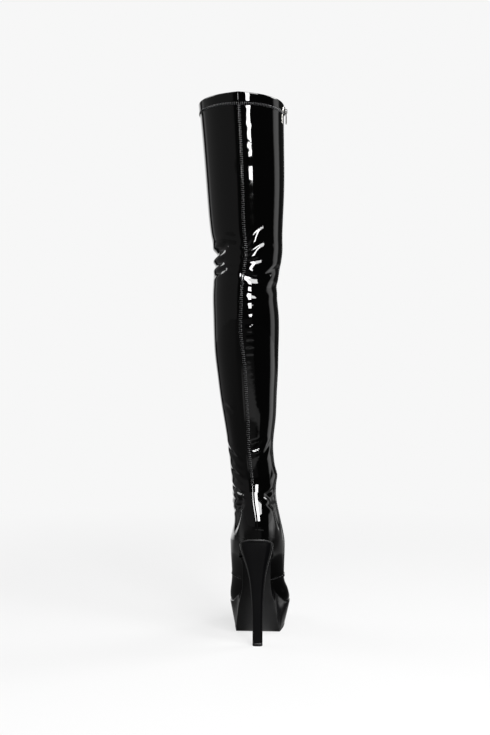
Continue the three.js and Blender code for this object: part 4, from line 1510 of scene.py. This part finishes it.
def make_hem_stitches():
    """The zigzag row that holds the turned hem, along the hem's lower edge."""
    level = BOOT_HEIGHT - HEM_HEIGHT
    along = np.array([along_at_height(level)])
    girth = 2 * math.pi * girth_radius(along)[0]
    count = 2 * int(girth / HEM_STITCH_PITCH / 2)
    zip_at = zip_turn(along)[0]
    gap = (slot_half(along)[0] + HEM_STITCH_GAP) / mm_per_turn(along, zip_at)[0]
    turns = np.linspace(zip_at + gap, zip_at + 2 * math.pi - gap, count)
    lean = HEM_STITCH_LEAN * HEM_STITCH_PITCH / girth * 2 * math.pi * (1 - 2 * (np.arange(count) % 2))
    ends = []
    for side in (-1, 1):
        rise = side * HEM_STITCH_REACH
        row = np.full(count, along_at_height(level + rise))
        relief = hem_relief(level + rise) + fold_relief(turns, level + rise, girth_radius(row))
        ends.append(skin(row, turns + side * lean, 0.15 + relief))
    points, faces = rod_mesh(ends[0], ends[1], normal(row, turns), THREAD_RADIUS)
    make_piece("hem_zigzag", points, faces, [THREAD])


# Straight rows: their pitch, each stitch's length, the thread, and their way from the slot's edge.
STITCH_PITCH = 3.0
STITCH_LENGTH = 2.3
STITCH_RADIUS = 0.26
ZIP_STITCH_SIDE = 2.6


def make_zip_stitches():
    """Two straight rows that sew the wall to the zip's tape."""
    count = int((ZIP_RUN.length - 5) / STITCH_PITCH)
    places = 3.0 + STITCH_PITCH * np.arange(count)
    parts = []
    for side in (-1, 1):
        across = side * (CHAIN_WIDTH / 2 + CLEARANCE + ZIP_STITCH_SIDE)
        starts, ups = beside(ZIP_RUN, places, across, 0.4)
        ends, _ = beside(ZIP_RUN, places + STITCH_LENGTH, across, 0.4)
        parts.append(rod_mesh(starts, ends, ups, STITCH_RADIUS))
    points, faces = joined(parts)
    make_piece("zip_stitches", points, faces, [THREAD])


def line_points(places, distance, line):
    """Points at distances along a line."""
    return np.stack([np.interp(places, distance, line[:, i]) for i in range(3)], axis=1)


def make_vamp_stitches():
    """The row that sews the quarters over the vamp, just above the lapped edge."""
    alongs = np.linspace(len(LEG) + 5.0, LAST - 1.0, 700)
    low = feather_turn(alongs)
    high = np.full(len(alongs), math.pi)
    parts = []
    for side in (-1, 1):

        def under(turn):
            return vamp_distance(surface(alongs, side * turn)) < VAMP_STITCH_RISE

        crosses = under(low) & ~under(high)
        turn = side * bisect(low, high, under)[crosses]
        line = skin(alongs[crosses], turn, 0.55)
        distance = distances(line)
        places = np.arange(1.0, distance[-1] - STITCH_LENGTH, STITCH_PITCH)
        starts = line_points(places, distance, line)
        ends = line_points(places + STITCH_LENGTH, distance, line)
        ups = line_points(places, distance, normal(alongs[crosses], turn))
        parts.append(rod_mesh(starts, ends, ups, STITCH_RADIUS))
    points, faces = joined(parts)
    make_piece("vamp_stitches", points, faces, [THREAD])


# The tape's section: how high and wide it humps into the slot, the crack between its two edges,
# and where its points lie to one side of the middle.
TAPE_HUMP = 1.3
TAPE_HUMP_FOOT = (3.3, 0.9)
TAPE_CRACK = (0.25, 0.35)
TAPE_ACROSS = [0.3, 1.2, 2.3, 2.9, 3.6, 4.6, 6.0, 8.0, TAPE_WIDTH / 2]


def make_zip_tape():
    """The tape behind the wall. It humps into the slot where it carries the teeth."""
    across = np.array([-place for place in reversed(TAPE_ACROSS)] + [0.0] + TAPE_ACROSS)
    places = np.linspace(0.5, ZIP_RUN.length - 0.8, 360)
    foot, slope = TAPE_HUMP_FOOT
    hump = smooth_step((foot - np.abs(across)) / slope) * TAPE_HUMP
    depth, width = TAPE_CRACK
    crack = depth * np.exp(-((across / width) ** 2))
    grids = []
    for layer in (0.0, TAPE_THICKNESS):
        section = hump - crack - layer - (WALL + CLEARANCE)
        outward = np.broadcast_to(section, (len(places), len(across)))
        points, _ = beside(ZIP_RUN, places[:, None], across[None, :], outward)
        grids.append(points)
    rims = np.ones(len(places) - 1, dtype=bool)
    points, outside, inside = shell_mesh(grids[0], grids[1], first_rim=rims, last_rim=rims)
    piece = make_piece("zip_tape_woven", points, outside + inside, [TAPE], ["zip_tape"])
    finish_piece(piece, 50)


# Teeth: their pitch and thread, and how far each reaches over the middle to lock.
TOOTH_PITCH = 1.5
TOOTH_RADIUS = 0.62
TOOTH_LOCK = 0.75


def make_zip_teeth():
    """Coil teeth: turns of nylon from each tape edge that lock between one another."""
    last = ZIP_RUN.length - STOP_LENGTH - 0.6
    count = int((last - 1.0) / TOOTH_PITCH)
    parts = []
    for side, phase in ((-1, 0.0), (1, 0.5)):
        places = 1.0 + TOOTH_PITCH * (np.arange(count) + phase)
        starts, ups = beside(ZIP_RUN, places, -side * TOOTH_LOCK, 0.32)
        ends, _ = beside(ZIP_RUN, places, side * (CHAIN_WIDTH / 2 - 0.1), 0.1)
        parts.append(rod_mesh(starts, ends, ups, TOOTH_RADIUS, lift=0.25))
    points, faces = joined(parts)
    make_piece("zip_coil_teeth", points, faces, [COIL], ["zip_chain"])


# The stop's form: places across as shares of its half width, with their heights, and places down
# as shares of its half length, with what the heights fall by, then its brink and its underside.
STOP_ACROSS = [-1, -0.98, -0.9, -0.7, -0.35, 0, 0.35, 0.7, 0.9, 0.98, 1]
STOP_DOME = [-1.0, 0.2, 0.85, 1.2, 1.35, 1.4, 1.35, 1.2, 0.85, 0.2, -1.0]
STOP_DOWN = [-1, -0.97, -0.85, -0.5, 0, 0.5, 0.85, 0.97, 1]
STOP_FALL = [-1.0, -0.45, -0.1, 0.0, 0.0, 0.0, -0.1, -0.45, -1.0]
STOP_BRINK = -1.0
STOP_UNDER = -1.2


def make_stop():
    """The bottom stop: a small pressed metal clip over the last teeth."""
    middle = ZIP_RUN.length - STOP_LENGTH / 2 - CLEARANCE
    across = CHAIN_WIDTH / 2 * np.array(STOP_ACROSS)[None, :]
    down = middle + STOP_LENGTH / 2 * np.array(STOP_DOWN)[:, None]
    outward = np.maximum(np.array(STOP_DOME)[None, :] + np.array(STOP_FALL)[:, None], STOP_BRINK)
    upper, _ = beside(ZIP_RUN, down, across, outward)
    lower, _ = beside(ZIP_RUN, down, across, STOP_UNDER + 0 * outward)
    rims = np.ones(len(down) - 1, dtype=bool)
    points, outside, inside = shell_mesh(upper, lower, first_rim=rims, last_rim=rims)
    piece = make_piece("zip_bottom_stop", points, outside + inside, [NICKEL], ["zip_stop"])
    finish_piece(piece, 50)


SLIDER_ALONG = along_at_height(BOOT_HEIGHT - ZIP_END_DROP - SLIDER_DROP - SLIDER_LENGTH / 2)
SLIDER_PLACE = skin(
    np.array([SLIDER_ALONG]), zip_turn(np.array([SLIDER_ALONG])), np.array([CHAIN_PROUD + CLEARANCE])
)[0]
PIVOT_OUT = SLIDER_BODY + BRIDGE_OPENING / 2


def plate_points(outline, low, high):
    """A plate in the slider's frame from an outline of (across, up) points, between two heights."""
    points = [(low, y, z) for y, z in outline] + [(high, y, z) for y, z in outline]
    count = len(outline)
    faces = [tuple(reversed(range(count))), tuple(range(count, 2 * count))]
    faces += [(i, (i + 1) % count, count + (i + 1) % count, count + i) for i in range(count)]
    return points, faces


def rounded(corners, radius, steps=5):
    """An outline with each corner rounded."""
    outline = []
    count = len(corners)
    for i, corner in enumerate(np.asarray(corners, dtype=float)):
        before = np.asarray(corners[i - 1], dtype=float) - corner
        after = np.asarray(corners[(i + 1) % count], dtype=float) - corner
        reach = min(radius, 0.45 * np.linalg.norm(before), 0.45 * np.linalg.norm(after))
        first = corner + before / np.linalg.norm(before) * reach
        last = corner + after / np.linalg.norm(after) * reach
        for k in range(steps + 1):
            part = k / steps
            outline.append(tuple(lerp(lerp(first, corner, part), lerp(corner, last, part), part)))
    return outline


def make_fitting(name, parts, width, replaces, body):
    """A nickel fitting from plates in the slider's frame, with its sharp edges rounded."""
    points, faces = joined(parts)
    piece = make_piece(name, points + SLIDER_PLACE, faces, [NICKEL], replaces, body)

    def change(mesh):
        bmesh.ops.recalc_face_normals(mesh, faces=mesh.faces)
        edges = [e for e in mesh.edges if len(e.link_faces) == 2 and e.calc_face_angle(0.0) > 0.7]
        sizes = {"offset": width * METRES, "segments": 3, "affect": "EDGES", "clamp_overlap": True}
        bmesh.ops.bevel(mesh, geom=edges, **sizes)
        sharpen(mesh, 35)

    edit_mesh(piece, change)


# The slider's foot as a share of its top's width, its shoulder's height, the raised crown as
# shares of the body, and the faces over one side of the bridge, by its profile's corners.
SLIDER_TAPER = 0.72
SLIDER_SHOULDER = 3.4
CROWN_WIDTH = 0.72
CROWN_LENGTH = 0.8
BRIDGE_SIDE = [
    (0, 1, 12, 13),
    (1, 2, 11, 12),
    (2, 3, 11),
    (3, 4, 10, 11),
    (4, 5, 10),
    (5, 6, 9, 10),
    (6, 7, 8, 9),
]


def make_slider():
    """The slider: a shield-shaped body with a raised crown, and the bridge that carries the pull."""
    half_top, half_foot = SLIDER_WIDTH / 2, SLIDER_WIDTH / 2 * SLIDER_TAPER
    half_length = SLIDER_LENGTH / 2
    shoulder = half_length - SLIDER_SHOULDER
    shield = rounded(
        [
            (-half_foot, -half_length),
            (half_foot, -half_length),
            (half_top, shoulder),
            (half_top, half_length),
            (-half_top, half_length),
            (-half_top, shoulder),
        ],
        1.3,
    )
    crown_foot, crown_top = half_foot * CROWN_WIDTH, half_top * CROWN_WIDTH
    crown_half = half_length * CROWN_LENGTH
    crown = rounded(
        [
            (-crown_foot, -crown_half),
            (crown_foot, -crown_half),
            (crown_top, crown_half),
            (-crown_top, crown_half),
        ],
        1.0,
    )
    parts = [
        plate_points(shield, 0.0, SLIDER_BODY * 0.72),
        plate_points(crown, SLIDER_BODY * 0.6, SLIDER_BODY),
    ]
    top = SLIDER_BODY + BRIDGE_OPENING
    profile = [
        (BRIDGE_REACH, SLIDER_BODY * 0.7),
        (BRIDGE_REACH, top - 0.5),
        (BRIDGE_REACH - 0.7, top + BRIDGE_THICKNESS * 0.8),
        (BRIDGE_REACH - 1.6, top + BRIDGE_THICKNESS),
        (-BRIDGE_REACH + 1.6, top + BRIDGE_THICKNESS),
        (-BRIDGE_REACH + 0.7, top + BRIDGE_THICKNESS * 0.8),
        (-BRIDGE_REACH, top - 0.5),
        (-BRIDGE_REACH, SLIDER_BODY * 0.7),
        (-BRIDGE_REACH + 0.8, SLIDER_BODY * 0.7),
        (-BRIDGE_REACH + 0.8, top - 0.6),
        (-BRIDGE_REACH + 1.3, top),
        (BRIDGE_REACH - 1.3, top),
        (BRIDGE_REACH - 0.8, top - 0.6),
        (BRIDGE_REACH - 0.8, SLIDER_BODY * 0.7),
    ]
    half = BRIDGE_WIDTH / 2
    bridge = [(x, -half, z) for z, x in profile] + [(x, half, z) for z, x in profile]
    count = len(profile)
    faces = [(i, (i + 1) % count, count + (i + 1) % count, count + i) for i in range(count)]
    faces += [face[::-1] for face in BRIDGE_SIDE]
    faces += [tuple(i + count for i in face) for face in BRIDGE_SIDE]
    parts.append((bridge, faces))
    make_fitting("zip_slider_body", parts, 0.22, ["zip_slider"], "boot")


def make_pull():
    """The pull tab: arms round the bridge, a bar in it and a tapered plate with a raised pad."""
    half = PULL_WIDTH / 2
    window = BRIDGE_WIDTH / 2 + CLEARANCE
    window_foot = -(BRIDGE_REACH + 1.2)
    bar = PULL_THICKNESS / 2
    foot = half * 0.8
    outer = [(-half, bar), (half, bar), (foot, -PULL_LENGTH), (-foot, -PULL_LENGTH)]
    outer = rounded(outer, 1.0, 4)
    inner = [(-window, -bar), (window, -bar), (window, window_foot), (-window, window_foot)]
    inner = rounded(inner, 0.5, 4)
    count = len(outer)
    points, faces = [], []
    for height in (PIVOT_OUT - bar, PIVOT_OUT + bar):
        points += [(height, y, z) for y, z in outer] + [(height, y, z) for y, z in inner]
    for k in range(count):
        a, b = k, (k + 1) % count
        faces.append((a, b, b + count, a + count))
        faces.append((a + 2 * count, b + 2 * count, b + 3 * count, a + 3 * count)[::-1])
        faces.append((a, a + 2 * count, b + 2 * count, b))
        faces.append((a + count, b + count, b + 3 * count, a + 3 * count))
    parts = [(points, faces)]
    pad_top, pad_foot = window_foot - 2.6, -PULL_LENGTH + 1.6
    wide, narrow = foot * 0.62, foot * 0.5
    pad = rounded([(-wide, pad_top), (wide, pad_top), (narrow, pad_foot), (-narrow, pad_foot)], 0.9, 4)
    parts.append(plate_points(pad, PIVOT_OUT + bar - 0.1, PIVOT_OUT + bar + 0.25))
    make_fitting("zip_pull_tab", parts, 0.2, ["zip_pull"], "pull")


make_shaft()
make_upper()
make_outsole()
make_platform()
make_heel()
make_lift()
make_insole()
make_zip_tape()
make_zip_teeth()
make_stop()
make_slider()
make_pull()
make_seam_stitches()
make_hem_stitches()
make_zip_stitches()
make_vamp_stitches()

# The studio: the floor's reach in metres, how bright the backdrop and the floor near the boot look
# to the camera, and the share of plain paper there that takes the boot's shadow.
FLOOR_HALF = 12.0
BACKGROUND = 0.93
FLOOR_GLOW = 0.84
PAPER_SHARE = 0.18
PAPER = (0.8, 0.8, 0.8, 1)
WHITE = (1, 1, 1, 1)

# Metres from the heel over which the floor changes: from what the camera sees near the boot to the
# backdrop, from the near to the far table of brightness, and at both ends of the painted bright patch.
FLOOR_FADES = {
    "backdrop": (0.3, 1.6),
    "far": (0.4, 1.5),
    "painted_patch_start": (0.75, 0.85),
    "painted_patch_end": (1.06, 1.16),
}

# What the gloss reflects round the studio, as degrees to the right of straight behind the boot and
# brightness: a white backdrop beyond the toe, a grey screen to the left, darkness to the right.
STUDIO = [
    (-180, 1.0),
    (-152, 1.0),
    (-146, 0.01),
    (-138, 0.01),
    (-132, 0.34),
    (-124, 0.17),
    (-22, 0.15),
    (-13, 0.02),
    (6, 0.006),
    (109, 0.004),
    (115, 0.65),
    (130, 0.55),
    (137, 0.02),
    (170, 0.02),
    (180, 1.0),
]
# The same for the floor's painted glow, which only the boot's gloss sees: painted reflections far from the
# boot and close to it, and a painted bright patch near the camera.
FLOOR_FAR = [
    (-180, 1.0),
    (-152, 1.0),
    (-146, 0.01),
    (-136, 0.01),
    (-130, 0.16),
    (-40, 0.1),
    (-30, 0.06),
    (26, 0.05),
    (34, 0.01),
    (107, 0.01),
    (114, 0.8),
    (130, 0.8),
    (140, 0.05),
    (160, 0.1),
    (172, 1.0),
    (180, 1.0),
]
FLOOR_NEAR = [
    (-180, 0.9),
    (-172, 0.8),
    (-162, 0.2),
    (-150, 0.07),
    (-132, 0.06),
    (-124, 0.22),
    (-112, 0.22),
    (-104, 0.06),
    (22, 0.1),
    (40, 0.02),
    (104, 0.02),
    (112, 0.16),
    (124, 0.16),
    (132, 0.02),
    (150, 0.03),
    (162, 0.2),
    (172, 0.8),
    (180, 0.9),
]
FLOOR_PAINTED_PATCH = [(-180, 0.0), (-8, 0.0), (-4, 0.3), (54, 0.34), (59, 0.0), (180, 0.0)]


def ring_level(tree, x, y, stops):
    """The brightness in the direction of x and y, from a table of directions."""
    behind = add_node(tree, "Math", {0: y, 1: -1.0}, operation="MULTIPLY").outputs["Value"]
    azimuth = add_node(tree, "Math", {0: x, 1: behind}, operation="ARCTAN2")
    inputs = {"Value": azimuth.outputs["Value"], "From Min": -math.pi, "From Max": math.pi}
    part = add_node(tree, "MapRange", inputs)
    ramp = add_node(tree, "ValToRGB", {"Fac": part.outputs["Result"]})
    elements = ramp.color_ramp.elements
    for degrees, _ in stops[1:-1]:
        elements.new((degrees + 180) / 360)
    for stop, (degrees, level) in zip(elements, stops):
        stop.position = (degrees + 180) / 360
        stop.color = (level, level, level, 1)
    return ramp.outputs["Color"]


def make_floor():
    """A white paper floor that runs out of sight into the white studio behind it. The camera sees
    it plain and pale. The boot's gloss sees a painted glow on it instead: painted reflections in rings of
    dark and bright round the boot, standing in for studio screens, and a painted bright patch near the
    camera."""
    mesh = bpy.data.meshes.new("studio_floor")
    half = FLOOR_HALF
    corners = [(-half, -half, 0), (half, -half, 0), (half, half, 0), (-half, half, 0)]
    mesh.from_pydata(corners, [], [(0, 1, 2, 3)])
    floor = bpy.data.objects.new("studio_floor", mesh)
    bpy.context.collection.objects.link(floor)
    material, tree = new_material("studio_floor")
    place = add_node(tree, "TexCoord").outputs["Object"]
    axes = add_node(tree, "SeparateXYZ", {"Vector": place}).outputs
    away = add_node(tree, "VectorMath", {0: place}, operation="LENGTH").outputs["Value"]
    fades = {}
    for name, (start, end) in FLOOR_FADES.items():
        inputs = {"Value": away, "From Min": start, "From Max": end}
        fade = add_node(tree, "MapRange", inputs, interpolation_type="SMOOTHSTEP")
        fades[name] = fade.outputs["Result"]
    # Painted glow, lit by no lamp: the floor's brightness for the boot's gloss is painted by direction
    # round the boot.
    tables = (FLOOR_NEAR, FLOOR_FAR, FLOOR_PAINTED_PATCH)
    near, far, patch = (ring_level(tree, axes["X"], axes["Y"], table) for table in tables)
    plain = add_node(tree, "Mix", {0: fades["far"], 2: near, 3: far}, data_type="FLOAT")
    # The painted bright patch near the camera: a band of painted glow that only the boot's gloss sees.
    ends = {0: fades["painted_patch_start"], 1: fades["painted_patch_end"]}
    band = add_node(tree, "Math", ends, operation="SUBTRACT")
    painted_patch_inputs = {0: patch, 1: band.outputs["Value"], 2: plain.outputs[0]}
    gloss = add_node(tree, "Math", painted_patch_inputs, operation="MULTIPLY_ADD")
    pale = {0: fades["backdrop"], 2: FLOOR_GLOW, 3: BACKGROUND}
    seen = add_node(tree, "Mix", pale, data_type="FLOAT")
    camera = add_node(tree, "LightPath").outputs["Is Camera Ray"]
    levels = {0: camera, 2: gloss.outputs["Value"], 3: seen.outputs[0]}
    level = add_node(tree, "Mix", levels, data_type="FLOAT")
    share = add_node(tree, "Mix", {0: fades["backdrop"], 2: PAPER_SHARE, 3: 0.0}, data_type="FLOAT")
    shadowed = add_node(tree, "Math", {0: camera, 1: share.outputs[0]}, operation="MULTIPLY")
    paper = add_node(tree, "BsdfDiffuse", {"Color": PAPER})
    glow = add_node(tree, "Emission", {"Color": WHITE, "Strength": level.outputs[0]})
    layers = {0: shadowed.outputs["Value"], 1: glow.outputs["Emission"], 2: paper.outputs["BSDF"]}
    mixed = add_node(tree, "MixShader", layers)
    add_node(tree, "OutputMaterial", {"Surface": mixed.outputs["Shader"]})
    mesh.materials.append(material)


def make_world():
    """The studio round the boot: plain and pale for the camera, screens and darkness for its gloss."""
    world = bpy.data.worlds.new("studio")
    bpy.context.scene.world = world
    world.use_nodes = True
    tree = world.node_tree
    tree.nodes.clear()
    place = add_node(tree, "TexCoord").outputs["Generated"]
    axes = add_node(tree, "SeparateXYZ", {"Vector": place}).outputs
    screens = ring_level(tree, axes["X"], axes["Y"], STUDIO)
    camera = add_node(tree, "LightPath").outputs["Is Camera Ray"]
    level = add_node(tree, "Mix", {0: camera, 2: screens, 3: BACKGROUND}, data_type="FLOAT")
    backdrop = add_node(tree, "Background", {"Color": WHITE, "Strength": level.outputs[0]})
    add_node(tree, "OutputWorld", {"Surface": backdrop.outputs["Background"]})


# What the lights face, metres.
AIM = np.array([-0.02, 0.02, 0.45])


def add_softbox(name, azimuth, distance, height, width, tall, watts):
    """A soft light that faces the boot, in metres. Azimuth is degrees to the right of straight
    behind it."""
    light = bpy.data.lights.new(name, "AREA")
    light.shape = "RECTANGLE"
    light.size = width
    light.size_y = tall
    light.energy = watts
    lamp = bpy.data.objects.new(name, light)
    turn = math.radians(azimuth)
    lamp.location = (AIM[0] + distance * math.sin(turn), AIM[1] - distance * math.cos(turn), height)
    lamp.rotation_euler = (math.radians(90) - math.atan2(height - AIM[2], distance), 0, turn)
    bpy.context.collection.objects.link(lamp)


def add_lights():
    add_softbox("strip_softbox", 20, 2.0, 1.49, 0.58, 1.28, 64)
    add_softbox("high_softbox", 42, 2.2, 2.4, 1.5, 1.6, 100)
    add_softbox("left_softbox", -100, 2.2, 2.1, 1.6, 1.4, 34)
    add_softbox("right_softbox", 114, 2.2, 2.15, 1.0, 1.4, 40)


CAMERA_PLACE = (0.07, -1.55, 0.403)
CAMERA_TURN = 3.26
CAMERA_LENS = 52.36


def add_camera():
    """Level, behind the boot and a little to its inside, as in the photograph, turned to frame it."""
    data = bpy.data.cameras.new("camera")
    data.lens = CAMERA_LENS
    data.clip_end = 100.0
    camera = bpy.data.objects.new("camera", data)
    camera.location = CAMERA_PLACE
    camera.rotation_euler = (math.radians(90), 0, math.radians(CAMERA_TURN))
    bpy.context.collection.objects.link(camera)
    bpy.context.scene.camera = camera


make_floor()
make_world()
add_lights()
add_camera()
bpy.context.scene.view_settings.view_transform = "Standard"
